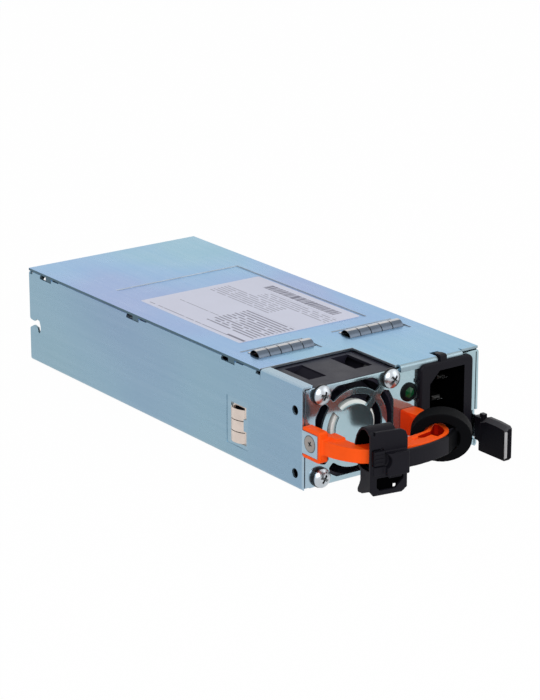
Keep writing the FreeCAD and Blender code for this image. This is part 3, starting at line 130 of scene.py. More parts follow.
# ---------------------------------------------------------------- finishes
class Nodes:
    """A node tree, with short ways to add and join nodes."""

    def __init__(self, owner: bpy.types.Material | bpy.types.World) -> None:
        """Start a bare tree.

        Args:
            owner: The material or world that the tree belongs to.
        """
        owner.use_nodes = True
        self.owner = owner
        self.tree = owner.node_tree
        self.tree.nodes.clear()

    def feed(self, value: Value, target: Socket) -> None:
        """Link a socket to another, or set a plain value on it.

        Args:
            value: Socket, number, vector or colour.
            target: The socket that takes it.
        """
        if isinstance(value, Socket):
            self.tree.links.new(value, target)
        else:
            target.default_value = (*value, 1.0) if target.type == "RGBA" else value

    def fill(self, node: bpy.types.Node, values: dict[str, Value]) -> bpy.types.Node:
        """Fill a node's inputs.

        Args:
            node: The node.
            values: Input names with underscores for spaces, and what each takes.

        Returns:
            The same node.
        """
        for key, value in values.items():
            self.feed(value, node.inputs[key.replace("_", " ")])
        return node

    def add(self, kind: str, **values: Value) -> bpy.types.Node:
        """Return a new node of a kind, named without ShaderNode, with its inputs filled."""
        return self.fill(self.tree.nodes.new("ShaderNode" + kind), values)

    def place(self, scale: Triple = (1, 1, 1), turn: Triple = (0, 0, 0), shift: Triple = (0, 0, 0)) -> Socket:
        """Return Object coordinates, scaled, turned in radians and shifted in metres."""
        spot = self.add("TexCoord").outputs["Object"]
        return self.add("Mapping", Vector=spot, Location=shift, Scale=scale, Rotation=turn).outputs["Vector"]

    def split(self, vector: Socket) -> tuple[Socket, ...]:
        """Return a vector's three parts as sockets."""
        return tuple(self.add("SeparateXYZ", Vector=vector).outputs)

    def math(self, operation: str, *values: Socket | float) -> Socket:
        """Return the result of one sum.

        Args:
            operation: Blender's name for it.
            *values: The one or two values it works on.

        Returns:
            The value socket.
        """
        node = self.add("Math")
        node.operation = operation
        for socket, value in zip(node.inputs, values):
            self.feed(value, socket)
        return node.outputs["Value"]

    def noise(self, vector: Socket, scale: float, detail: float = 3.0, rough: float = 0.5) -> Socket:
        """Return a noise value over a vector, with its scale per metre, octaves and the share each keeps."""
        return self.add("TexNoise", Vector=vector, Scale=scale, Detail=detail, Roughness=rough).outputs["Fac"]

    def ramp(self, factor: Socket, stops: Sequence[tuple[float, Colour]]) -> Socket:
        """Return a colour ramp over a factor.

        Args:
            factor: Value to read.
            stops: Places and colours, at least two.

        Returns:
            The colour socket.
        """
        node = self.add("ValToRGB", Fac=factor)
        elements = node.color_ramp.elements
        while len(elements) < len(stops):
            elements.new(0.5)
        for element, (position, colour) in zip(elements, stops):
            element.position = position
            element.color = (*colour, 1.0)
        return node.outputs["Color"]

    def span(self, factor: Socket, low: float, high: float,
             source: tuple[float, float] = (0.3, 0.7)) -> Socket:
        """Return a factor stretched from a source range onto another range."""
        return self.add("MapRange", Value=factor, From_Min=source[0], From_Max=source[1], To_Min=low,
                        To_Max=high).outputs["Result"]

    def within(self, value: Socket, low: float, high: float, soft: float = 0.00005) -> Socket:
        """Return 1 where a value lies between two bounds, and 0 elsewhere.

        Args:
            value: Value to read.
            low: Lower bound.
            high: Upper bound.
            soft: Half-width of each soft edge.

        Returns:
            The mask socket.
        """
        rise = self.span(value, 0.0, 1.0, (low - soft, low + soft))
        fall = self.span(value, 1.0, 0.0, (high - soft, high + soft))
        return self.math("MULTIPLY", rise, fall)

    def mix(self, factor: Socket | float, first: Socket | Colour, second: Socket | Colour,
            blend: str = "MIX") -> Socket:
        """Return a mix of two colours.

        Args:
            factor: Share of the second, as a socket or a number.
            first: First colour.
            second: Second colour.
            blend: Blend type.

        Returns:
            The mixed colour socket.
        """
        node = self.add("Mix")
        node.data_type = "RGBA"
        node.blend_type = blend
        for key, value in (("Factor", factor), (6, first), (7, second)):
            self.feed(value, node.inputs[key])
        return node.outputs[2]


class Surface(Nodes):
    """A material's tree with a Principled surface."""

    def __init__(self, name: str) -> None:
        """Start a material with a bare Principled surface.

        Args:
            name: Name of the material.
        """
        super().__init__(bpy.data.materials.new(name))
        self.shader = self.add("BsdfPrincipled")
        self.output = self.add("OutputMaterial", Surface=self.shader.outputs["BSDF"])

    def set(self, **values: Value) -> None:
        """Fill the surface's own sockets, named with underscores for spaces."""
        self.fill(self.shader, values)

    def bump(self, height: Socket, distance: float, strength: float) -> None:
        """Bump the surface by a height, whose full step is a distance in metres."""
        node = self.add("Bump", Height=height, Distance=distance, Strength=strength)
        self.set(Normal=node.outputs["Normal"])


@dataclass(frozen=True)
class PlatedSheet:
    """Blue-passivated zinc on rolled sheet: a soft shift of film colour over a fine grain, with painted shade
    on the left wall where a side shade is given.
    """

    name: str
    shades: tuple[tuple[float, Colour], ...]
    cloud: float = 16.0
    stretch: Colour = (1.0, 0.55, 0.5)
    roughness: float = 0.30
    side_shade: Colour | None = None
    front_roughness: float | None = None

    def material(self) -> bpy.types.Material:
        """Return the finish as a material."""
        nodes = Surface(self.name)
        drift = nodes.place(self.stretch, (0.0, 0.0, 0.35), (0.013, 0.004, 0.0))
        colour = nodes.ramp(nodes.noise(drift, self.cloud, 2.0, 0.4), self.shades)
        streaks = nodes.noise(nodes.place((60.0, 2.0, 60.0)), 9.0, 4.0, 0.6)
        colour = nodes.mix(nodes.span(streaks, 0.0, 0.07), colour, (0.80, 0.86, 0.90))
        x, y, _ = nodes.split(nodes.place())
        # Painted shade: the outer face of the left wall is darkened by the side shade.
        if self.side_shade is not None:
            side = nodes.math("MULTIPLY", nodes.within(x, -0.0430, -0.0412, 0.0001),
                              nodes.within(y, -0.0948, 0.2, 0.0001))
            colour = nodes.mix(side, colour, nodes.mix(1.0, colour, self.side_shade, "MULTIPLY"))
        nodes.set(Base_Color=colour, Metallic=0.90)
        fine = nodes.noise(nodes.place((500.0, 90.0, 500.0)), 5.0, 3.0, 0.6)
        smudge = nodes.noise(nodes.place(), 45.0, 3.0, 0.55)
        rough = nodes.math("ADD", nodes.span(fine, self.roughness - 0.05, self.roughness + 0.06),
                           nodes.span(smudge, -0.03, 0.04))
        if self.front_roughness is not None:
            front = nodes.within(y, -0.0962, -0.0946, 0.0001)
            drop = nodes.math("MULTIPLY", front, self.roughness - self.front_roughness)
            rough = nodes.math("SUBTRACT", rough, drop)
        nodes.set(Roughness=rough)
        nodes.bump(fine, 0.000008, 0.20)
        return nodes.owner


@dataclass(frozen=True)
class MouldedPlastic:
    """Moulded plastic with a fine spark-eroded grain and a slightly uneven gloss."""

    name: str
    colour: Colour
    roughness: float = 0.42
    specular: float = 0.5
    grain: float = 0.000012
    mottle: float = 0.12

    def material(self) -> bpy.types.Material:
        """Return the finish as a material."""
        nodes = Surface(self.name)
        cloud = nodes.noise(nodes.place(), 90.0, 3.0)
        darker = tuple(channel * (1.0 - self.mottle) for channel in self.colour)
        nodes.set(Base_Color=nodes.mix(nodes.span(cloud, 0.0, 1.0), darker, self.colour),
                  Specular_IOR_Level=self.specular)
        grain = nodes.noise(nodes.place(), 4200.0, 2.0)
        wipe = nodes.noise(nodes.place(), 120.0, 2.0)
        rough = nodes.math("ADD", nodes.span(grain, self.roughness - 0.05, self.roughness + 0.06),
                           nodes.span(wipe, -0.04, 0.05))
        nodes.set(Roughness=rough)
        nodes.bump(grain, self.grain, 0.5)
        return nodes.owner


@dataclass(frozen=True)
class BareMetal:
    """Bright metal with faint tool marks."""

    name: str
    colour: Colour
    roughness: float = 0.22
    marks: float = 0.000006

    def material(self) -> bpy.types.Material:
        """Return the finish as a material."""
        nodes = Surface(self.name)
        cloud = nodes.noise(nodes.place(), 160.0, 3.0)
        darker = tuple(channel * 0.84 for channel in self.colour)
        nodes.set(Base_Color=nodes.mix(nodes.span(cloud, 0.0, 1.0), darker, self.colour), Metallic=1.0)
        marks = nodes.noise(nodes.place((1.0, 6.0, 1.0)), 2600.0, 2.0)
        nodes.set(Roughness=nodes.span(marks, self.roughness - 0.04, self.roughness + 0.08))
        nodes.bump(marks, self.marks, 0.4)
        return nodes.owner


@dataclass(frozen=True)
class PrintedRows:
    """A block of blank printed rows: short grey dashes in place of any wording."""

    x0: float
    x1: float
    y0: float
    y1: float
    pitch: float
    fill: float
    word: float
    ink: float

    def area(self, nodes: Surface, x: Socket, y: Socket) -> Socket:
        """Return 1 over the block's rectangle, and 0 elsewhere."""
        return nodes.math("MULTIPLY", nodes.within(x, self.x0 * MM, self.x1 * MM),
                          nodes.within(y, self.y0 * MM, self.y1 * MM))

    def mask(self, nodes: Surface, x: Socket, y: Socket) -> Socket:
        """Return the ink mask of the rows.

        Args:
            nodes: The material's nodes.
            x: Position across the case.
            y: Position along the case.

        Returns:
            The mask socket.
        """
        steps = nodes.math("DIVIDE", nodes.math("SUBTRACT", x, self.x0 * MM), self.pitch * MM)
        line = nodes.within(nodes.math("FRACT", steps), 0.0, self.fill, 0.08)
        row = nodes.math("MULTIPLY", nodes.math("FLOOR", steps), 0.371)
        words = nodes.noise(nodes.add("CombineXYZ", X=row, Y=y).outputs["Vector"], self.word, 1.0, 0.3)
        dashes = nodes.math("MULTIPLY", line, nodes.within(words, 0.40, 2.0, 0.03))
        return nodes.math("MULTIPLY", nodes.math("MULTIPLY", self.area(nodes, x, y), dashes), self.ink)


@dataclass(frozen=True)
class LabelFilm:
    """Pale satin film printed with ruled fields and dashes, and no words."""

    name: str = "label_film"
    ground: Colour = (0.60, 0.62, 0.75)
    ink: Colour = (0.10, 0.10, 0.16)
    blocks: tuple[PrintedRows, ...] = (
        PrintedRows(-27.2, -26.2, -28.0, 26.0, 1.0, 0.55, 260.0, 0.75),
        PrintedRows(-15.6, -14.9, -6.0, 22.0, 0.7, 0.60, 240.0, 0.75),
        PrintedRows(-22.0, -1.0, -37.0, -6.0, 1.9, 0.46, 330.0, 0.85),
        PrintedRows(2.0, 11.5, -14.0, 26.0, 1.7, 0.42, 380.0, 0.60),
        PrintedRows(12.5, 19.5, -37.0, 8.0, 1.7, 0.42, 360.0, 0.60),
        PrintedRows(-27.0, -25.2, -38.0, -26.5, 1.9, 0.70, 300.0, 0.95),
    )
    bars: PrintedRows = PrintedRows(21.0, 25.8, -31.0, 16.0, 1.0, 0.50, 0.0, 0.95)

    def material(self) -> bpy.types.Material:
        """Return the finish as a material."""
        nodes = Surface(self.name)
        cloud = nodes.noise(nodes.place(), 60.0, 2.0)
        colour = nodes.mix(nodes.span(cloud, 0.0, 1.0), tuple(c * 0.96 for c in self.ground), self.ground)
        x, y, _ = nodes.split(nodes.place())
        stripes = nodes.within(nodes.noise(nodes.place((0.0, 1.0, 0.0)), 1500.0, 0.0), 0.46, 2.0, 0.03)
        bars = nodes.math("MULTIPLY", self.bars.area(nodes, x, y), stripes)
        ink = nodes.math("MULTIPLY", bars, self.bars.ink)
        for block in self.blocks:
            ink = nodes.math("MAXIMUM", ink, block.mask(nodes, x, y))
        nodes.set(Base_Color=nodes.mix(ink, colour, self.ink), Roughness=0.36, Specular_IOR_Level=0.3)
        nodes.bump(nodes.noise(nodes.place(), 2400.0, 2.0), 0.000006, 0.3)
        return nodes.owner


Finish = PlatedSheet | MouldedPlastic | BareMetal | LabelFilm

COVER_SHADES = ((0.30, (0.282, 0.369, 0.635)), (0.42, (0.255, 0.378, 0.639)), (0.50, (0.234, 0.407, 0.658)),
                (0.58, (0.228, 0.432, 0.662)), (0.70, (0.237, 0.465, 0.603)))
TRAY_SHADES = ((0.30, (0.330, 0.425, 0.560)), (0.44, (0.335, 0.455, 0.555)), (0.54, (0.345, 0.480, 0.560)),
               (0.66, (0.360, 0.500, 0.545)))
# Painted dark reflection: darker steel on the fronts of the cover fingers' curls.
FINGER_FRONT_SHADE = BareMetal("finger_front", (0.125, 0.155, 0.200), 0.30)
# Painted shade: near-black steel in the curls' hollows and on the ends beside them.
FINGER_HOLLOW_SHADE = BareMetal("finger_hollow", (0.010, 0.020, 0.034), 0.45)
# Painted light on the cover: shade on the lip and on the left seam, a paler highlight on the stamped steps.
LIP_SHADE = BareMetal("lip_plate", (0.300, 0.400, 0.450), 0.36)
STEP_HIGHLIGHT = BareMetal("step_plate", (0.42, 0.47, 0.52), 0.32)
SEAM_SHADE = BareMetal("seam_plate", (0.085, 0.150, 0.195), 0.40)
COVER_PLATE = PlatedSheet("plated_cover", COVER_SHADES)
# Painted shade: the tray's plate darkens the left wall's outer face by its side shade.
TRAY_PLATE = PlatedSheet("plated_tray", TRAY_SHADES, side_shade=(0.70, 0.80, 0.88), front_roughness=0.10)
BRACKET_PLATE = PlatedSheet("plated_bracket", TRAY_SHADES)
SPRING_STEEL = BareMetal("spring_steel", (0.56, 0.56, 0.57), 0.20)
SIDE_SPRING = BareMetal("nickel_spring", (0.72, 0.62, 0.56), 0.30)
SCREW_STEEL = BareMetal("screw_steel", (0.52, 0.56, 0.60), 0.27)
TAB_STEEL = BareMetal("plain_nickel", (0.34, 0.31, 0.29), 0.30)
RECESS_DARK = BareMetal("recess_shadow", (0.105, 0.115, 0.120), 0.35)
# Painted shade: near-black for the inlet pins inside the dark mouth; only their tips keep bright steel.
PIN_SHADE = BareMetal("pin_steel", (0.030, 0.030, 0.030), 0.35)
YOKE_STEEL = MouldedPlastic("yoke_lacquer", (0.86, 0.90, 0.87), 0.45, 0.5)
OXIDE = MouldedPlastic("black_oxide", (0.0040, 0.0045, 0.0060), 0.30, 0.25)
BRASS = BareMetal("turned_brass", (0.78, 0.62, 0.32), 0.25)
GOLD = BareMetal("gold_plating", (0.90, 0.66, 0.28), 0.22)
ALUMINIUM = BareMetal("extruded_aluminium", (0.78, 0.79, 0.80), 0.35)
BLACK = MouldedPlastic("black_moulding", (0.0082, 0.0078, 0.0118), 0.46, 0.09)
# Painted shade: a darker black for the ring and for the strap where it runs into the ring.
BAND_SHADE_BLACK = MouldedPlastic("soft_black_moulding", (0.0030, 0.0032, 0.0040), 0.60, 0.03)
TAB_BLACK = MouldedPlastic("latch_moulding", (0.0052, 0.0048, 0.0072), 0.45, 0.03)
FAN_BLACK = MouldedPlastic("fan_moulding", (0.0165, 0.0160, 0.0270), 0.42, 0.16)
ORANGE = MouldedPlastic("orange_moulding", (1.0, 0.100, 0.008), 0.40, 0.08)
# Painted shade: a deep red for the faces down inside the handle's coring pocket.
ORANGE_CORE_SHADE = MouldedPlastic("orange_core", (0.50, 0.010, 0.001), 0.50, 0.02)
ORANGE_SHADED = MouldedPlastic("orange_shaded", (0.92, 0.045, 0.003), 0.45, 0.05)
# Painted shade: near-black for the inlet's mouth, the strip behind the lid slot, the clip's arch and the wall
# behind its window.
SHADE_BLACK = MouldedPlastic("inlet_inside", (0.0012, 0.0012, 0.0014), 0.70, 0.0)
# Painted shade: a darker black down in the duct's pockets.
POCKET_SHADE = MouldedPlastic("fan_pocket", (0.0120, 0.0115, 0.0175), 0.60, 0.03)
# Painted highlight: a pale strip for the latch tab's front edge, and a lighter band for its top.
EDGE_HIGHLIGHT = MouldedPlastic("tab_worn_edge", (0.42, 0.42, 0.43), 0.35, 0.3)
TOP_HIGHLIGHT = MouldedPlastic("tab_top_band", (0.055, 0.055, 0.062), 0.40, 0.15)
BOARD = MouldedPlastic("solder_mask", (0.012, 0.090, 0.035), 0.30)
FILM = MouldedPlastic("insulating_film", (0.70, 0.70, 0.64), 0.35)
SLEEVE = MouldedPlastic("capacitor_sleeve", (0.020, 0.022, 0.050), 0.30)
BOX_YELLOW = MouldedPlastic("film_capacitor_box", (0.62, 0.42, 0.05), 0.40)
COPPER = BareMetal("varnished_copper", (0.72, 0.30, 0.12), 0.30)
FERRITE = MouldedPlastic("sintered_ferrite", (0.030, 0.030, 0.032), 0.60)
CLEAR = MouldedPlastic("lamp_moulding", (0.50, 0.75, 0.50), 0.15)
GLAZED = MouldedPlastic("glazed_ceramic", (0.80, 0.80, 0.76), 0.22)
LENS_RIM = MouldedPlastic("lens_rim", (0.0035, 0.0060, 0.0065), 0.30, 0.06)
LENS_GREEN = MouldedPlastic("lens_green", (0.002, 0.060, 0.018), 0.14, 0.25)
LABEL = LabelFilm()


class Finishes:
    """Materials by finish, each made once."""

    made: dict[str, bpy.types.Material] = {}

    @classmethod
    def of(cls, finish: Finish) -> bpy.types.Material:
        """Return the material of a finish, making it the first time.

        Args:
            finish: The finish.

        Returns:
            Its material.
        """
        if finish.name not in cls.made:
            cls.made[finish.name] = finish.material()
        return cls.made[finish.name]

    @classmethod
    def dress(cls, obj: Piece, finish: Finish) -> None:
        """Give an object one finish all over.

        Args:
            obj: The object.
            finish: Its finish.
        """
        material = cls.of(finish)
        if not obj.material_slots:
            obj.data.materials.append(material)
        for slot in obj.material_slots:
            slot.material = material


# ---------------------------------------------------------------- bench
class Bench:
    """Mesh work with Blender's operators, as by hand."""

    @staticmethod
    def clear() -> None:
        """Leave edit mode and deselect every object."""
        if bpy.context.object is not None and bpy.context.object.mode != "OBJECT":
            bpy.ops.object.mode_set(mode="OBJECT")
        bpy.ops.object.select_all(action="DESELECT")

    @classmethod
    def only(cls, obj: Piece) -> None:
        """Make one object the only selected and active one."""
        cls.clear()
        obj.select_set(True)
        bpy.context.view_layer.objects.active = obj

    @staticmethod
    def pick(obj: Piece, test: Test, edges: bool = False) -> None:
        """Select the faces or edges that pass a test, in edit mode.

        Args:
            obj: The object being edited.
            test: Test on each face or edge.
            edges: Whether edges are picked, and not faces.
        """
        bpy.ops.mesh.select_mode(type="EDGE" if edges else "FACE")
        mesh = bmesh.from_edit_mesh(obj.data)
        for part in mesh.edges if edges else mesh.faces:
            part.select_set(test(part))
        bmesh.update_edit_mesh(obj.data)

    @classmethod
    @contextmanager
    def editing(cls, obj: Piece, test: Test | None = None) -> Iterator[None]:
        """Hold one object in edit mode while the body of a with statement works on it.

        Args:
            obj: The object.
            test: Test for the faces that start selected, or None for all of them.
        """
        cls.only(obj)
        bpy.ops.object.mode_set(mode="EDIT")
        bpy.ops.mesh.select_mode(type="FACE")
        bpy.ops.mesh.select_all(action="SELECT")
        if test is not None:
            cls.pick(obj, test)
        yield
        bpy.ops.object.mode_set(mode="OBJECT")

    @classmethod
    def apply(cls, obj: Piece, kind: str, **settings: object) -> None:
        """Add a modifier, set it and apply it.

        Args:
            obj: The object.
            kind: Modifier type.
            **settings: The modifier's settings.
        """
        cls.only(obj)
        modifier = obj.modifiers.new(kind.lower(), kind)
        for key, value in settings.items():
            setattr(modifier, key, value)
        bpy.ops.object.modifier_apply(modifier=modifier.name)

    @classmethod
    def ease(cls, obj: Piece, width: float, segments: int = 2, angle: float = 32.0) -> None:
        """Round every sharp edge.

        Args:
            obj: The object.
            width: Width of the rounding, in millimetres.
            segments: Number of steps across it.
            angle: Smallest angle that counts as sharp, in degrees.
        """
        cls.apply(obj, "BEVEL", width=width * MM, segments=segments, limit_method="ANGLE",
                  angle_limit=math.radians(angle), use_clamp_overlap=False, miter_outer="MITER_ARC")

    @classmethod
    def smooth(cls, obj: Piece, angle: float = 38.0) -> None:
        """Shade faces smooth, apart from sharp edges, and rest the underside on the floor.

        Args:
            obj: The object.
            angle: Largest angle that is shaded smooth, in degrees.
        """
        cls.only(obj)
        bpy.ops.object.shade_smooth_by_angle(angle=math.radians(angle))
        cls.apply(obj, "WEIGHTED_NORMAL", keep_sharp=True, weight=100)
        for vertex in obj.data.vertices:
            if -0.02 * MM < vertex.co.z < 0.0:
                vertex.co.z = 0.0

    @classmethod
    def mould(cls, obj: Piece, grain: float, passes: int) -> None:
        """Melt a solid's edges and inner corners a little, as a moulding has them.

        Args:
            obj: The solid.
            grain: Size of the cells it is rebuilt from, in millimetres.
            passes: How often the result is relaxed.
        """
        cls.apply(obj, "REMESH", mode="VOXEL", voxel_size=grain * MM, use_smooth_shade=True)
        cls.apply(obj, "SMOOTH", factor=0.5, iterations=passes)
        cls.only(obj)
        bpy.ops.object.shade_smooth()

    @classmethod
    def merged(cls, node: str, name: str, flatten: bool = True) -> Piece:
        """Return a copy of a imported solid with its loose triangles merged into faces.

        Args:
            node: The solid's node.
            name: Name of the new piece.
            flatten: Whether triangles in one plane become one face.

        Returns:
            The new object.
        """
        obj = bpy.data.objects.new(name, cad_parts[node].data.copy())
        bpy.context.scene.collection.objects.link(obj)
        with cls.editing(obj):
            bpy.ops.mesh.customdata_custom_splitnormals_clear()
            bpy.ops.mesh.remove_doubles(threshold=0.000004)
            if flatten:
                bpy.ops.mesh.dissolve_limited(angle_limit=math.radians(0.6))
        obj.data.materials.clear()
        return obj

    @classmethod
    def paint_faces(cls, obj: Piece, finish: "Finish", test: Test) -> None:
        """Give the faces that pass a test a finish of their own.

        Args:
            obj: The piece, already dressed.
            finish: The finish.
            test: Test on each face.
        """
        obj.data.materials.append(Finishes.of(finish))
        with cls.editing(obj, test):
            obj.active_material_index = len(obj.data.materials) - 1
            bpy.ops.object.material_slot_assign()

    @classmethod
    def settle(cls, obj: Piece) -> None:
        """Carry an object's place into its mesh."""
        cls.only(obj)
        bpy.ops.object.transform_apply(location=True, rotation=True, scale=True)

    @classmethod
    def carry(cls, node: str, name: str, edge: float, segments: int = 2, angle: float = 32.0) -> Piece:
        """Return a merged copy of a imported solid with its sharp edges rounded.

        Args:
            node: The solid's node.
            name: Name of the new piece.
            edge: Width of the rounding, in millimetres, or 0 for none.
            segments: Steps across the rounding.
            angle: Smallest angle that is rounded, in degrees.

        Returns:
            The new object.
        """
        obj = cls.merged(node, name)
        if edge:
            cls.ease(obj, edge, segments, angle)
        cls.smooth(obj)
        return obj

    @classmethod
    def ball_cap(cls, radius: float, rise: float, rim: float) -> Piece:
        """Return a disc that looks along -Y: a spherical dome on an upright rim, its back at y 0.

        Args:
            radius: Radius of the disc.
            rise: Height of the dome.
            rim: Height of the rim.

        Returns:
            The new object.
        """
        sphere = (radius * radius + rise * rise) / (2 * rise)
        cls.clear()
        bpy.ops.mesh.primitive_uv_sphere_add(
            segments=48, ring_count=36, radius=sphere * MM, location=mm(0, sphere - rise - rim, 0),
            rotation=(math.pi / 2, 0, 0))
        obj = bpy.context.object
        cls.settle(obj)
        with cls.editing(obj):
            bpy.ops.mesh.bisect(plane_co=mm(0, -rim, 0), plane_no=(0, 1, 0), use_fill=True, clear_outer=True)
            cls.pick(obj, lambda face: face.normal.y > 0.99 and abs(middle(face).y + rim * MM) < 1e-6)
            bpy.ops.mesh.extrude_region_move(TRANSFORM_OT_translate={"value": (0, rim * MM, 0)})
            bpy.ops.mesh.select_all(action="SELECT")
            bpy.ops.mesh.normals_make_consistent(inside=False)
        return obj

    @classmethod
    def rod(cls, radius: float, y0: float, y1: float, sides: int = 40, taper: float = 1.0) -> Piece:
        """Return a round bar along Y, with its rear end narrowed.

        Args:
            radius: Radius at the front end.
            y0: Front end.
            y1: Rear end.
            sides: Steps round it.
            taper: Share of the radius that the rear end keeps.

        Returns:
            The new object.
        """
        cls.clear()
        bpy.ops.mesh.primitive_cylinder_add(vertices=sides, radius=radius * MM, depth=(y1 - y0) * MM,
                                            location=mm(0, (y0 + y1) / 2, 0), rotation=(math.pi / 2, 0, 0))
        obj = bpy.context.object
        cls.settle(obj)
        with cls.editing(obj, lambda face: face.normal.y > 0.99):
            bpy.ops.transform.resize(value=(taper, 1.0, taper), center_override=mm(0, y1, 0))
        return obj

    @classmethod
    def block(cls, low: Vector, high: Vector) -> Piece:
        """Return a box between two corners.

        Args:
            low: The low corner, in metres.
            high: The high corner, in metres.

        Returns:
            The new object.
        """
        cls.clear()
        bpy.ops.mesh.primitive_cube_add(size=1.0, location=(low + high) / 2, scale=high - low)
        obj = bpy.context.object
        cls.settle(obj)
        return obj

    @classmethod
    def cut(cls, obj: Piece, tool: Piece) -> None:
        """Cut one solid out of another and delete it."""
        cls.apply(obj, "BOOLEAN", operation="DIFFERENCE", solver="EXACT", object=tool)
        bpy.data.objects.remove(tool)

    @classmethod
    def fuse(cls, obj: Piece, other: Piece) -> None:
        """Fuse one solid with another and delete the other."""
        cls.apply(obj, "BOOLEAN", operation="UNION", solver="EXACT", object=other)
        bpy.data.objects.remove(other)

    @classmethod
    def join(cls, pieces: Sequence[Piece], name: str) -> Piece:
        """Join objects into the first one and name it.

        Args:
            pieces: The objects.
            name: Name of the result.

        Returns:
            The joined object.
        """
        cls.clear()
        for piece in pieces:
            piece.select_set(True)
        bpy.context.view_layer.objects.active = pieces[0]
        if len(pieces) > 1:
            bpy.ops.object.join()
        pieces[0].name = name
        return pieces[0]

    @classmethod
    def copies(cls, obj: Piece, places: Iterable[Vector],
               turns: Iterable[Matrix] | None = None) -> list[Piece]:
        """Copy an object, each copy with its own mesh, and delete the pattern.

        Args:
            obj: The pattern, modelled round the origin.
            places: Where the copies go.
            turns: Turn of each copy, if they differ.

        Returns:
            The copies.
        """
        places = list(places)
        turned = list(turns) if turns is not None else [Matrix.Identity(4)] * len(places)
        made = []
        for place, turn in zip(places, turned):
            copy = bpy.data.objects.new(obj.name, obj.data.copy())
            bpy.context.scene.collection.objects.link(copy)
            copy.data.transform(Matrix.Translation(place) @ turn)
            made.append(copy)
        bpy.data.objects.remove(obj)
        return made


class SubAssembly:
    """A group of pieces that is built and handed over together."""

    def hand_over(self, obj: Piece, finish: Finish | None, slot: Slot, node: str, body: Body = Body.CASE,
                  patches: Iterable[tuple[Finish, Test]] = ()) -> None:
        """Dress a finished piece, let it ride on its body and hide the node it stands for.

        Args:
            obj: The piece.
            finish: Its finish, or None where its faces are already dressed.
            slot: The record's slot of its finish; not used.
            node: The node it stands for.
            body: The body it rides on.
            patches: Finishes of their own for the faces that pass a test.
        """
        if finish is not None:
            Finishes.dress(obj, finish)
        for patch, test in patches:
            Bench.paint_faces(obj, patch, test)
        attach(obj, body.value)
        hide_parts(node)
        LOG.info("%s: %d faces on %s", obj.name, len(obj.data.polygons), body.value)

    def build(self) -> None:
        """Build every piece of the group."""
        raise NotImplementedError


# ---------------------------------------------------------------- fasteners
@dataclass
class CrossHead:
    """A screw with a cross recess, modelled along Y with its seat at y 0."""

    radius: float
    rise: float
    rim: float
    shank_radius: float
    shank: float
    recess: float = 2.1
    width: float = 0.95
    depth: float = 1.1
    turn: float = 20.0
    steel: Finish = SCREW_STEEL

    def cross(self, front: float) -> Piece:
        """Return the recess's tool: two crossed wedges that narrow inwards.

        Args:
            front: Where the head's front lies.

        Returns:
            The tool.
        """
        arms = []
        for quarter in (0, 1):
            arm = Bench.block(mm(-self.recess, front - 1.0, -self.width / 2),
                              mm(self.recess, front + self.depth, self.width / 2))
            with Bench.editing(arm, lambda face: face.normal.y > 0.9):
                bpy.ops.transform.resize(value=(0.5, 1.0, 0.6), center_override=mm(0, front + self.depth, 0))
            arm.data.transform(turned(self.turn + 90 * quarter, "Y"))
            arms.append(arm)
        Bench.fuse(arms[0], arms[1])
        return arms[0]

    def paint_recess(self, obj: Piece, deep: Test) -> None:
        """Give the head its steel and the recess its shadow.

        Args:
            obj: The screw.
            deep: Test for faces in the recess.
        """
        Finishes.dress(obj, self.steel)
        Bench.paint_faces(obj, RECESS_DARK, deep)

    def in_arms(self, place: Vector) -> bool:
        """Tell whether a point lies within the reach of the recess's arms."""
        return math.hypot(place.x, place.z) < self.recess * MM * 1.02

    def domed(self) -> Piece:
        """Return a pan-head screw."""
        head = Bench.ball_cap(self.radius, self.rise, self.rim)
        sphere = (self.radius ** 2 + self.rise ** 2) / (2 * self.rise)
        centre = mm(0, sphere - self.rise - self.rim, 0)
        Bench.cut(head, self.cross(-self.rim - self.rise))
        Bench.ease(head, 0.10, 2, 40.0)
        Bench.smooth(head, 40.0)

        def deep(face: Face) -> bool:
            """Test for the faces of the recess."""
            place = middle(face)
            return self.in_arms(place) and (place - centre).length < (sphere - 0.16) * MM
        self.paint_recess(head, deep)
        shank = Bench.rod(self.shank_radius, -0.1, self.shank, 24)
        Finishes.dress(shank, OXIDE)
        return Bench.join([head, shank], "pan_screw")

    def flat(self) -> Piece:
        """Return a countersunk screw whose face lies at y 0."""
        head = Bench.rod(self.radius, 0.0, self.rise, 48, self.shank_radius / self.radius)
        with Bench.editing(head, lambda face: face.normal.y < -0.9):
            bpy.ops.mesh.inset(thickness=0.30 * MM)
        Bench.cut(head, self.cross(0.0))
        Bench.ease(head, 0.06, 2, 40.0)
        Bench.smooth(head, 40.0)

        def deep(face: Face) -> bool:
            """Test for the faces of the recess and of the seam round the head."""
            place = middle(face)
            seam = math.hypot(place.x, place.z) > (self.radius - 0.29) * MM and place.y < 0.08 * MM
            return seam or (self.in_arms(place) and 0.05 * MM < place.y < (self.depth + 0.05) * MM)
        self.paint_recess(head, deep)
        shank = Bench.rod(self.shank_radius, self.rise - 0.1, self.shank, 24)
        Finishes.dress(shank, self.steel)
        return Bench.join([head, shank], "flat_screw")


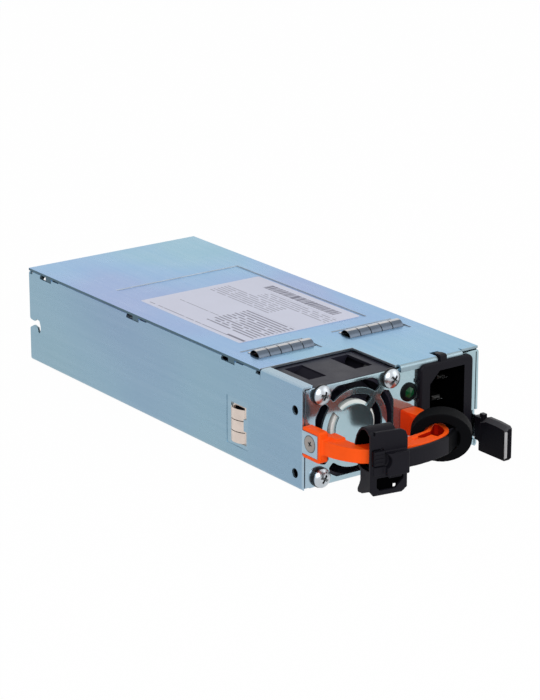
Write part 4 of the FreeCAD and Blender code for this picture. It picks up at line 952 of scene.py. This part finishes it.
# ---------------------------------------------------------------- case
@dataclass
class Case(SubAssembly):
    """Bent tray, stamped cover, vented rear panel, cover screws and the label."""

    edge: float = 0.11
    screw_y: tuple[float, ...] = (-35.0, 25.0, 81.0)
    screw_z: float = 35.0
    right: float = 41.5
    label_corner: float = 1.2
    fan_centre: Vector = field(default_factory=lambda: mm(-17.5, -95.0, 19.95))
    hub_radius: float = 8.9
    slot_radius: float = 12.6
    spoke: float = 2.6
    lid_slot: Zone = Zone((36.1, -95.6, 38.65), (41.25, -93.9, 39.25))
    lip: Zone = Zone(high=(FAR, -92.0, FAR))
    steps: Zone = Zone((-40.0, -90.0, 39.0), (40.0, 93.0, FAR))
    seam: Zone = Zone(high=(-40.5, FAR, FAR))

    def build(self) -> None:
        """Build the case's pieces."""
        tray = Bench.merged("chassis_tray", "case_tray")
        Bench.cut(tray, self.slot_tool())
        Bench.cut(tray, Bench.block(*self.lid_slot.corners()))
        Bench.ease(tray, self.edge)
        Bench.smooth(tray)
        self.hand_over(tray, TRAY_PLATE, Slot.ZINC, "chassis_tray")
        self.cover()
        rear = Bench.merged("rear_panel", "case_rear_panel", False)
        Bench.smooth(rear)
        self.hand_over(rear, BRACKET_PLATE, Slot.ZINC, "rear_panel")
        self.screws()
        self.label()

    def cover(self) -> None:
        """Stamp the cover, with painted shade on its lip and left seam and a painted highlight on its steps.
        """
        cover = Bench.carry("top_cover", "case_cover", self.edge)
        self.hand_over(cover, COVER_PLATE, Slot.ZINC, "top_cover", patches=(
            (LIP_SHADE, lambda face: face.normal.y < -0.3 and self.lip.holds(middle(face))),
            (STEP_HIGHLIGHT, lambda face: -0.2 < face.normal.z < 0.97 and self.steps.holds(middle(face))),
            (SEAM_SHADE, lambda face: face.normal.x < -0.6 and self.seam.holds(middle(face)))))

    def slot_tool(self) -> Piece:
        """Return the tool that opens the guard's inner slots: a ring parted by two crossed bars."""
        ring = Bench.rod(self.slot_radius, -1.0, 2.5, 96)
        Bench.cut(ring, Bench.rod(self.hub_radius, -2.0, 3.5, 96))
        for angle in (45, -45):
            bar = Bench.block(mm(-30, -2, -self.spoke / 2), mm(30, 4, self.spoke / 2))
            bar.data.transform(turned(angle, "Y"))
            Bench.cut(ring, bar)
        ring.data.transform(Matrix.Translation(self.fan_centre))
        return ring

    def screws(self) -> None:
        """Drive the three countersunk cover screws."""
        screw = CrossHead(2.85, 1.18, 0.0, 1.5, 4.5, recess=1.7, width=0.8, depth=0.8, turn=30.0).flat()
        places = [mm(self.right, y, self.screw_z) for y in self.screw_y]
        copies = Bench.copies(screw, places, [Facing.RIGHT.value] * len(places))
        self.hand_over(Bench.join(copies, "case_cover_screws"), None, Slot.BRIGHT, "cover_screws")

    def label(self) -> None:
        """Lay the label film in the cover's recess, with rounded corners."""
        low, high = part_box("rating_label")
        film = Bench.block(low + mm(-1.5, 0.6, 0), high + mm(0, 0.6, 0))
        film.name = "case_label"
        with Bench.editing(film):
            Bench.pick(film, lambda edge: abs((edge.verts[0].co - edge.verts[1].co).z) > 1e-6, edges=True)
            bpy.ops.mesh.bevel(offset=self.label_corner * MM, segments=6)
        self.hand_over(film, LABEL, Slot.LABEL, "rating_label")


@dataclass
class Grounding(SubAssembly):
    """Curled and bowed spring fingers on the cover and the left wall."""

    edge: float = 0.05

    def build(self) -> None:
        """Build the finger strips, those on the cover with a painted dark reflection on their fronts and
        painted shade in their hollows.
        """
        # The curls get a painted dark reflection on their fronts and painted shade in their hollows.
        curl_shades = ((FINGER_FRONT_SHADE, lambda face: face.normal.y < -0.35 and face.normal.z > -0.3),
                 (FINGER_HOLLOW_SHADE, self.hollow))
        for node, name, finish in (("top_spring_fingers_left", "cover_fingers_left", SPRING_STEEL),
                                   ("top_spring_fingers_right", "cover_fingers_right", SPRING_STEEL),
                                   ("side_spring_fingers", "wall_fingers", SIDE_SPRING)):
            self.hand_over(Bench.carry(node, name, self.edge, 1, 50.0), finish, Slot.SPRING, node,
                           patches=curl_shades if finish is SPRING_STEEL else ())

    @staticmethod
    def hollow(face: Face) -> bool:
        """Test for the undersides of the curls and the ends beside them, which get painted shade."""
        return face.normal.z < -0.25 or (abs(face.normal.x) > 0.9 and middle(face).z > 39.8 * MM)


# ---------------------------------------------------------------- fan
@dataclass
class Fan(SubAssembly):
    """Moulded fan with its rotor, and the four domed screws on black washers."""

    centre: Vector = field(default_factory=lambda: mm(-17.5, -95.0, 19.95))
    pitch: float = 32.0
    washer_radius: float = 3.9
    washer_hole: float = 1.8
    washer: float = 1.25
    cap_radius: float = 10.2
    cap_forward: float = 0.6
    bore: float = 18.6
    pockets: Zone = Zone((-18.5, 8.3, -18.5), (18.5, 23.3, 18.5))

    def build(self) -> None:
        """Build the fan's pieces."""
        duct = Bench.carry("fan_frame", "fan_duct", 0.15)
        Finishes.dress(duct, FAN_BLACK)
        # The pockets get painted shade.
        Bench.paint_faces(duct, POCKET_SHADE, self.in_pocket)
        self.hand_over(Bench.join([duct, *self.seals()], "fan_duct"), None, Slot.FAN, "fan_frame")
        rotor = Bench.carry("fan_rotor", "fan_impeller", 0.12)
        self.hand_over(rotor, FAN_BLACK, Slot.FAN, "fan_rotor", Body.ROTOR)
        self.hand_over(self.hub_cap(), YOKE_STEEL, Slot.BRIGHT, "rotor_yoke", Body.ROTOR)
        self.screws()
        self.washers()

    def seals(self) -> list[Piece]:
        """Return the two foam strips that close the gap between the duct's top and the cover."""
        low, high = (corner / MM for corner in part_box("fan_frame"))
        top, under = high.z - 0.15, high.z - 1.2
        right = Bench.block(mm(high.x - 0.2, low.y + 0.2, under), mm(high.x + 0.75, high.y + 0.7, top))
        back = Bench.block(mm(low.x + 0.5, high.y - 0.2, under), mm(high.x, high.y + 0.7, top))
        for strip in (right, back):
            Bench.ease(strip, 0.15, 2, 40.0)
            Finishes.dress(strip, FAN_BLACK)
        return [right, back]

    def hub_cap(self) -> Piece:
        """Return the metal cap on the rotor: a shallow drawn cup with a rounded rim and a dished middle."""
        low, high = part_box("rotor_yoke")
        cap = Bench.rod(self.cap_radius, low.y / MM - self.cap_forward, high.y / MM, 72)
        with Bench.editing(cap, lambda face: face.normal.y < -0.9):
            bpy.ops.mesh.inset(thickness=4.5 * MM)
            bpy.ops.mesh.inset(thickness=0.3 * MM)
            bpy.ops.transform.translate(value=(0, 0.2 * MM, 0))
        Bench.ease(cap, 0.25, 3, 40.0)
        Bench.smooth(cap, 40.0)
        cap.data.transform(Matrix.Translation(mm(self.centre.x / MM, 0, self.centre.z / MM)))
        cap.name = "fan_hub_cap"
        return cap

    def in_pocket(self, face: Face) -> bool:
        """Test for the faces of the pockets between the duct's flanges, which get painted shade."""
        place = middle(face) - self.centre
        return self.pockets.holds(place) and math.hypot(place.x, place.z) > self.bore * MM

    def corners(self) -> list[Vector]:
        """Return the four screw places on the plate's front."""
        half = self.pitch / 2
        return [self.centre + mm(sx * half, 0, sz * half) for sx in (-1, 1) for sz in (-1, 1)]

    def screws(self) -> None:
        """Drive the four pan-head screws."""
        screw = CrossHead(3.7, 1.6, 0.6, 1.7, 15.0, recess=2.5, width=1.0).domed()
        places = [corner + mm(0, -self.washer, 0) for corner in self.corners()]
        turns = [turned(angle, "Y") for angle in (12, 0, 40, 25)]
        screws = Bench.join(Bench.copies(screw, places, turns), "fan_pan_screws")
        self.hand_over(screws, None, Slot.BRIGHT, "fan_screws")

    def washers(self) -> None:
        """Set a black washer behind each screw head."""
        ring = Bench.rod(self.washer_radius, -self.washer, 0.0, 48)
        with Bench.editing(ring, lambda face: abs(face.normal.y) > 0.9):
            bpy.ops.mesh.inset(thickness=(self.washer_radius - self.washer_hole) * MM)
            bpy.ops.mesh.bridge_edge_loops()
        Bench.ease(ring, 0.35, 3, 40.0)
        Bench.smooth(ring, 40.0)
        washers = Bench.join(Bench.copies(ring, self.corners()), "fan_black_washers")
        self.hand_over(washers, OXIDE, Slot.OXIDE, "fan_screw_washers")


# ---------------------------------------------------------------- front fittings
@dataclass
class Inlet(SubAssembly):
    """Mains inlet: moulded body with its mouth, hook and three flat pins."""

    mouth: Zone = Zone((16.1, -96.8, 10.6), (32.9, FAR, 35.0))
    strip: Zone = Zone((36.0, -93.95, 38.2), (41.2, -93.6, 39.0))
    pin_ends: Zone = Zone(high=(FAR, -88.0, FAR))
    pin_forward: float = 1.6
    pin_taper: float = 0.30

    def build(self) -> None:
        """Build the inlet's pieces."""
        body = Bench.carry("inlet_body", "inlet_moulding", 0.0)
        Finishes.dress(body, BLACK)
        # Painted shade: the mouth's inside and a strip behind the lid slot are near black.
        Bench.paint_faces(body, SHADE_BLACK, lambda face: self.mouth.holds(middle(face)))
        shade = Bench.block(*self.strip.corners())
        Finishes.dress(shade, SHADE_BLACK)
        self.hand_over(Bench.join([body, shade], "inlet_moulding"), None, Slot.BLACK, "inlet_body")
        pins = Bench.carry("inlet_pins", "inlet_contacts", 0.18)
        # Painted shade on the pins; the tips alone get bright steel.
        Finishes.dress(pins, PIN_SHADE)
        with Bench.editing(pins, self.at_tip):
            bpy.ops.mesh.inset(thickness=self.pin_taper * MM)
            bpy.ops.transform.translate(value=(0, -self.pin_forward * MM, 0))
        Bench.paint_faces(pins, SCREW_STEEL, self.at_tip)
        self.hand_over(pins, None, Slot.BRIGHT, "inlet_pins")

    def at_tip(self, face: Face) -> bool:
        """Test for the front faces of the pins."""
        return face.normal.y < -0.9 and self.pin_ends.holds(middle(face))


@dataclass
class StatusLight(SubAssembly):
    """Status lens: a dark domed rim round a green faceted centre, on its stem."""

    centre: Vector = field(default_factory=lambda: mm(7.6, -95.0, 28.5))
    radius: float = 3.7
    rim: float = 0.5
    rise: float = 0.9
    eye: float = 2.3
    points: int = 3

    def build(self) -> None:
        """Build the lens."""
        dome = Bench.ball_cap(self.radius, self.rise, self.rim)
        Bench.cut(dome, Bench.rod(self.eye, -3.0, -self.rim - 0.25, 40))
        Bench.fuse(dome, Bench.rod(2.9, -0.1, 4.0, 40))
        Bench.ease(dome, 0.12, 2, 40.0)
        Bench.smooth(dome, 40.0)
        Finishes.dress(dome, LENS_RIM)
        lens = Bench.join([dome, self.star()], "status_lens_cap")
        lens.data.transform(Matrix.Translation(self.centre))
        self.hand_over(lens, None, Slot.LENS, "status_lens")

    def star(self) -> Piece:
        """Return the centre: a low star-shaped peak whose facets catch the light."""
        Bench.clear()
        bpy.ops.mesh.primitive_cone_add(vertices=2 * self.points, radius1=self.eye * MM, radius2=0.0,
                                        depth=0.75 * MM, location=mm(0, -self.rim - 0.6, 0),
                                        rotation=(math.pi / 2, 0, 0))
        star = bpy.context.object
        Bench.settle(star)
        Bench.apply(star, "BEVEL", width=0.12 * MM, segments=2, limit_method="ANGLE",
                    angle_limit=math.radians(20))
        Finishes.dress(star, LENS_GREEN)
        return star


@dataclass
class PullHandle(SubAssembly):
    """Orange moulded handle and the two screws that hold it."""

    grain: float = 0.28
    tab_screw: Vector = field(default_factory=lambda: mm(-41.48, -99.4, 19.7))
    foot_screw: Vector = field(default_factory=lambda: mm(7.9, -94.0, 17.2))
    by_clip: Zone = Zone((-33.0, -FAR, -FAR), (-24.0, -114.0, FAR))
    foot: Zone = Zone(low=(2.0, -113.0, -FAR))
    second_core: Zone = Zone((-3.6, -1.5, 18.8), (3.6, 1.5, 25.0))
    core: Zone = Zone((-9.6, -125.4, 18.0), (5.2, -114.3, 21.9))

    def build(self) -> None:
        """Build the handle's pieces."""
        bar = Bench.merged("pull_handle", "handle_moulding")
        core = Bench.block(*self.second_core.corners())
        core.data.transform(Matrix.Translation(mm(-5.3, -121.5, 0)) @ turned(12, "Z"))
        Bench.cut(bar, core)
        Bench.mould(bar, self.grain, 4)
        # Painted shade: a deeper orange down in the coring pocket.
        self.hand_over(bar, ORANGE, Slot.ORANGE, "pull_handle",
                       patches=((ORANGE_SHADED, self.shaded), (ORANGE_CORE_SHADE, self.in_core)))
        side = CrossHead(3.3, 0.98, 0.0, 1.5, 6.4, recess=1.7, width=0.85, depth=0.6, turn=25.0,
                         steel=TAB_STEEL).flat()
        side.data.transform(Matrix.Translation(self.tab_screw) @ Facing.LEFT.value)
        rear = CrossHead(2.9, 1.2, 0.7, 1.5, 7.6, recess=1.6, width=0.8).domed()
        rear.data.transform(Matrix.Translation(self.foot_screw) @ Facing.BACK.value)
        self.hand_over(Bench.join([side, rear], "handle_cross_screws"), None, Slot.BRIGHT, "handle_screws")

    def shaded(self, face: Face) -> bool:
        """Test for the bar's top beside the clip and for the foot's left side."""
        return (face.normal.z > 0.6 and self.by_clip.holds(middle(face))) \
            or (face.normal.x < -0.3 and self.foot.holds(middle(face)))

    def in_core(self, face: Face) -> bool:
        """Test for the faces down inside the bar's coring pocket, which get painted shade."""
        place = middle(face)
        inward = mm(max(min(place.x / MM, 1.0), -7.0), -120.6, 23.0) - place
        return self.core.holds(place) and face.normal.dot(inward) > 0.15 * inward.length


@dataclass
class CordRetainer(SubAssembly):
    """Saddle clip with its release pad, flat strap and thick oval ring."""

    grain: float = 0.22
    arch: Zone = Zone((-FAR, -5.7, 15.0), (FAR, 4.4, 29.4))
    strap: Zone = Zone(high=(-0.5, -124.5, FAR))
    wall: Zone = Zone((-4.9, -5.35, 7.2), (8.3, -4.95, 13.9))
    gap: Zone = Zone((4.0, -6.0, 7.9), (5.3, -4.0, 9.2))

    def frame(self) -> Matrix:
        """Return the clip's own frame: X along the clip, minus Y outwards."""
        return Matrix.Translation(mm(-27.7, -120.6, 0)) @ turned(-9.0, "Z")

    def in_arch(self, face: Face) -> bool:
        """Test for the faces that line the arch over the bar, which get painted shade.

        Args:
            face: The face, in the case's frame.

        Returns:
            Whether it lines the arch.
        """
        place = self.frame().inverted() @ middle(face)
        inward = mm(0, -1.2, 24.0) - Vector((0.0, place.y, place.z))
        normal = self.frame().to_3x3().inverted() @ face.normal
        return self.arch.holds(place) and normal.dot(inward) > 0.25 * inward.length

    def window_shade(self) -> Piece:
        """Return a near-black wall of painted shade behind the clip's window, with the gap at its lower
        right.
        """
        wall = Bench.block(*self.wall.corners())
        Bench.cut(wall, Bench.block(*self.gap.corners()))
        wall.data.transform(self.frame())
        Finishes.dress(wall, SHADE_BLACK)
        return wall

    def build(self) -> None:
        """Build the retainer's pieces."""
        clip = Bench.merged("retainer_clip", "retainer_saddle")
        Bench.mould(clip, self.grain, 2)
        Finishes.dress(clip, BLACK)
        # Painted shade: the arch's lining and the wall behind the window are near black.
        Bench.paint_faces(clip, SHADE_BLACK, self.in_arch)
        back = self.window_shade()
        self.hand_over(Bench.join([clip, back], "retainer_saddle"), None, Slot.BLACK, "retainer_clip")
        band = Bench.merged("retainer_strap", "retainer_band")
        Bench.mould(band, self.grain, 3)
        # Painted shade: the band is darker black, apart from the strap's front run in the plain black.
        self.hand_over(band, BAND_SHADE_BLACK, Slot.BLACK, "retainer_strap",
                       patches=((BLACK, lambda face: self.strap.holds(middle(face))),))
        pad = Bench.carry("retainer_pawl", "retainer_pad", 0.10)
        self.hand_over(pad, BLACK, Slot.BLACK, "retainer_pawl", Body.PAWL)


@dataclass
class ReleaseLatch(SubAssembly):
    """Steel strip lever with its moulded thumb tab, spring, pin and bracket."""

    x0: float = 37.9
    x1: float = 41.0
    slope: float = 1.5
    front_bevel: float = 0.75
    neck: Zone = Zone((37.9, -101.2, 4.2), (40.7, -97.6, 13.8))
    stud: Zone = Zone((38.1, -102.6, 12.4), (40.1, -100.2, 15.4))
    groove: Zone = Zone((39.0, -102.0, 4.6), (39.8, -90.0, 13.4))
    front: Zone = Zone((-FAR, -FAR, 2.0), (FAR, -114.7, 12.5))
    outline: tuple[tuple[float, float], ...] = (
        (-6.0, 0.3), (-6.0, 12.9), (-9.9, 14.4), (-16.0, 14.4), (-20.8, 14.0), (-21.8, 13.2), (-21.8, 1.4),
        (-20.7, 0.3))

    def build(self) -> None:
        """Build the latch's pieces."""
        self.tab()
        strip = Bench.carry("latch_lever", "latch_strip", 0.12)
        self.hand_over(strip, SPRING_STEEL, Slot.SPRING, "latch_lever", Body.LATCH)
        bracket = Bench.carry("latch_bracket", "latch_mount", 0.12)
        self.hand_over(bracket, BRACKET_PLATE, Slot.ZINC, "latch_bracket")

    def tab(self) -> None:
        """Mould the thumb tab: a plate with a sloped top, a bevelled front edge, its neck and its stud, with
        painted highlights on the top and the front edge.
        """
        plate = self.plate()
        for zone in (self.neck, self.stud):
            Bench.fuse(plate, Bench.block(*zone.corners()))
        Bench.cut(plate, Bench.block(*self.groove.corners()))
        plate.name = "latch_tab"
        Bench.ease(plate, 0.35, 3, 50.0)
        Bench.smooth(plate, 40.0)
        # Painted highlight: a lighter band on the top and a pale strip along the front edge.
        self.hand_over(plate, TAB_BLACK, Slot.BLACK, "latch_thumb_tab", Body.LATCH, patches=(
            (TOP_HIGHLIGHT, lambda face: face.normal.z > 0.35 and middle(face).z > 11.0 * MM),
            (EDGE_HIGHLIGHT, self.in_highlight_strip)))

    def plate(self) -> Piece:
        """Return the tab's plate, extruded from its outline and bevelled along the top and front."""
        Bench.clear()
        bpy.ops.mesh.primitive_circle_add(vertices=len(self.outline), radius=0.01, fill_type="NGON")
        plate = bpy.context.object
        for vertex, (y, z) in zip(plate.data.vertices, self.outline):
            vertex.co = mm(self.x0, y - 94.1, z)
        left = self.x0 + 0.01
        with Bench.editing(plate):
            bpy.ops.mesh.extrude_region_move(
                TRANSFORM_OT_translate={"value": ((self.x1 - self.x0) * MM, 0, 0)})
            bpy.ops.mesh.select_all(action="SELECT")
            bpy.ops.mesh.normals_make_consistent(inside=False)
            for zone, width in ((Zone((-FAR, -FAR, 12.5), (left, FAR, FAR)), self.slope),
                                (Zone(high=(left, -115.6, FAR)), self.front_bevel)):
                Bench.pick(plate, lambda edge: all(zone.holds(v.co) for v in edge.verts), edges=True)
                bpy.ops.mesh.bevel(offset=width * MM, segments=1)
        return plate

    def in_highlight_strip(self, face: Face) -> bool:
        """Test for the strip of painted highlight along the tab's front left edge."""
        return face.normal.x < -0.4 and face.normal.y < -0.4 and self.front.holds(middle(face))


@dataclass
class Tongue(SubAssembly):
    """Card-edge tongue at the rear: the main board and its gold pads."""

    def build(self) -> None:
        """Build the board."""
        self.hand_over(Bench.carry("main_board", "board_panel", 0.15), BOARD, Slot.BOARD, "main_board")


# ---------------------------------------------------------------- stage
@dataclass
class Studio:
    """Pale floor, soft lamps and the camera."""

    camera_place: Vector
    azimuth: float = 36.03
    elevation: float = 18.09
    lens: float = 135.9
    fill: float = 0.60
    floor_share: float = 0.98

    def build(self) -> None:
        """Make the floor, the world, the lamps and the camera."""
        Bench.clear()
        self.floor()
        self.world()
        self.lamps()
        self.camera()

    @staticmethod
    def seen(nodes: Nodes) -> Socket:
        """Return 1 for camera, glossy and transmission rays, and 0 for others.

        Args:
            nodes: The tree to add to.

        Returns:
            The value socket.
        """
        rays = nodes.add("LightPath").outputs
        mirrored = nodes.math("MAXIMUM", rays["Is Glossy Ray"], rays["Is Transmission Ray"])
        return nodes.math("MAXIMUM", rays["Is Camera Ray"], mirrored)

    @staticmethod
    def blend(nodes: Nodes, share: Socket, first: Socket, second: Socket) -> Socket:
        """Return a mix of two shaders.

        Args:
            nodes: The tree to add to.
            share: Share of the second.
            first: First shader.
            second: Second shader.

        Returns:
            The shader socket.
        """
        node = nodes.add("MixShader", Fac=share)
        nodes.feed(first, node.inputs[1])
        nodes.feed(second, node.inputs[2])
        return node.outputs["Shader"]

    def floor(self) -> None:
        """Lay a wide pale floor at the case's underside."""
        bpy.ops.mesh.primitive_plane_add(size=14.0, location=(0, 0, -0.0005))
        floor = bpy.context.object
        floor.name = "studio_floor"
        nodes = Surface("floor_paint")
        nodes.set(Base_Color=(0.90, 0.90, 0.90), Roughness=0.9, Specular_IOR_Level=0.0)
        glow = nodes.add("Emission", Strength=1.0)
        share = nodes.math("MULTIPLY", self.seen(nodes), self.floor_share)
        shown = self.blend(nodes, share, nodes.shader.outputs["BSDF"], glow.outputs["Emission"])
        nodes.feed(shown, nodes.output.inputs["Surface"])
        floor.data.materials.append(nodes.owner)

    def world(self) -> None:
        """Fill the surroundings with even white."""
        nodes = Nodes(bpy.data.worlds.new("studio"))
        bpy.context.scene.world = nodes.owner
        dim, white = (nodes.add("Background", Color=(1, 1, 1), Strength=strength).outputs["Background"]
                      for strength in (self.fill, 1.0))
        nodes.add("OutputWorld", Surface=self.blend(nodes, self.seen(nodes), dim, white))

    def lamps(self) -> None:
        """Hang the soft lamps round the object."""
        for name, place, size, power in (
                ("key", (-0.9, -1.4, 0.9), 1.1, 14.0), ("fill", (1.2, -1.2, 0.7), 1.2, 5.0),
                ("top", (0.1, 0.2, 1.6), 1.2, 2.0)):
            bpy.ops.object.light_add(type="AREA", location=place)
            lamp = bpy.context.object
            lamp.name = "lamp_" + name
            lamp.data.size = size
            lamp.data.energy = power
            lamp.rotation_euler = (-Vector(place)).to_track_quat("-Z", "Y").to_euler()

    def camera(self) -> None:
        """Set the camera at the reference angle."""
        bpy.ops.object.camera_add(location=self.camera_place)
        camera = bpy.context.object
        azimuth = math.radians(self.azimuth)
        elevation = math.radians(self.elevation)
        camera.rotation_euler = (math.pi / 2 - elevation, 0.0, -azimuth)
        camera.data.lens = self.lens
        camera.data.sensor_width = 36.0
        camera.data.clip_start = 0.01
        bpy.context.scene.camera = camera
        bpy.context.scene.view_settings.view_transform = "Standard"


NODE_FINISHES = {
    SPRING_STEEL: ("latch_spring",),
    SCREW_STEEL: ("fan_shaft", "latch_pin", "board_screws"),
    BRASS: ("fan_bearing", "board_standoffs"),
    FAN_BLACK: ("power_transistors",),
    CLEAR: ("status_led",),
    BOARD: ("control_board",),
    GOLD: ("card_edge_contacts",),
    FILM: ("board_insulator",),
    SLEEVE: ("bulk_capacitors", "output_capacitors"),
    BOX_YELLOW: ("filter_capacitor",),
    COPPER: ("common_mode_choke", "power_factor_choke", "transformer_winding", "fan_stator"),
    FERRITE: ("transformer_core",),
    ALUMINIUM: ("primary_heatsink", "secondary_heatsink"),
    GLAZED: ("mains_fuse",),
}


def dress_nodes() -> None:
    """Give every carried-over node its finish."""
    for finish, names in NODE_FINISHES.items():
        for name in names:
            Finishes.dress(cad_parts[name], finish)


def main() -> None:
    """Build the scene."""
    logging.basicConfig(level=logging.INFO, format="%(name)s: %(message)s")
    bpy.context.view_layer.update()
    dress_nodes()
    for group in (Case, Grounding, Fan, Inlet, StatusLight, PullHandle, CordRetainer, ReleaseLatch, Tongue):
        group().build()
    Studio(camera_place=mm(-579.6, -815.0, 347.9)).build()


if __name__ == "__main__":
    main()
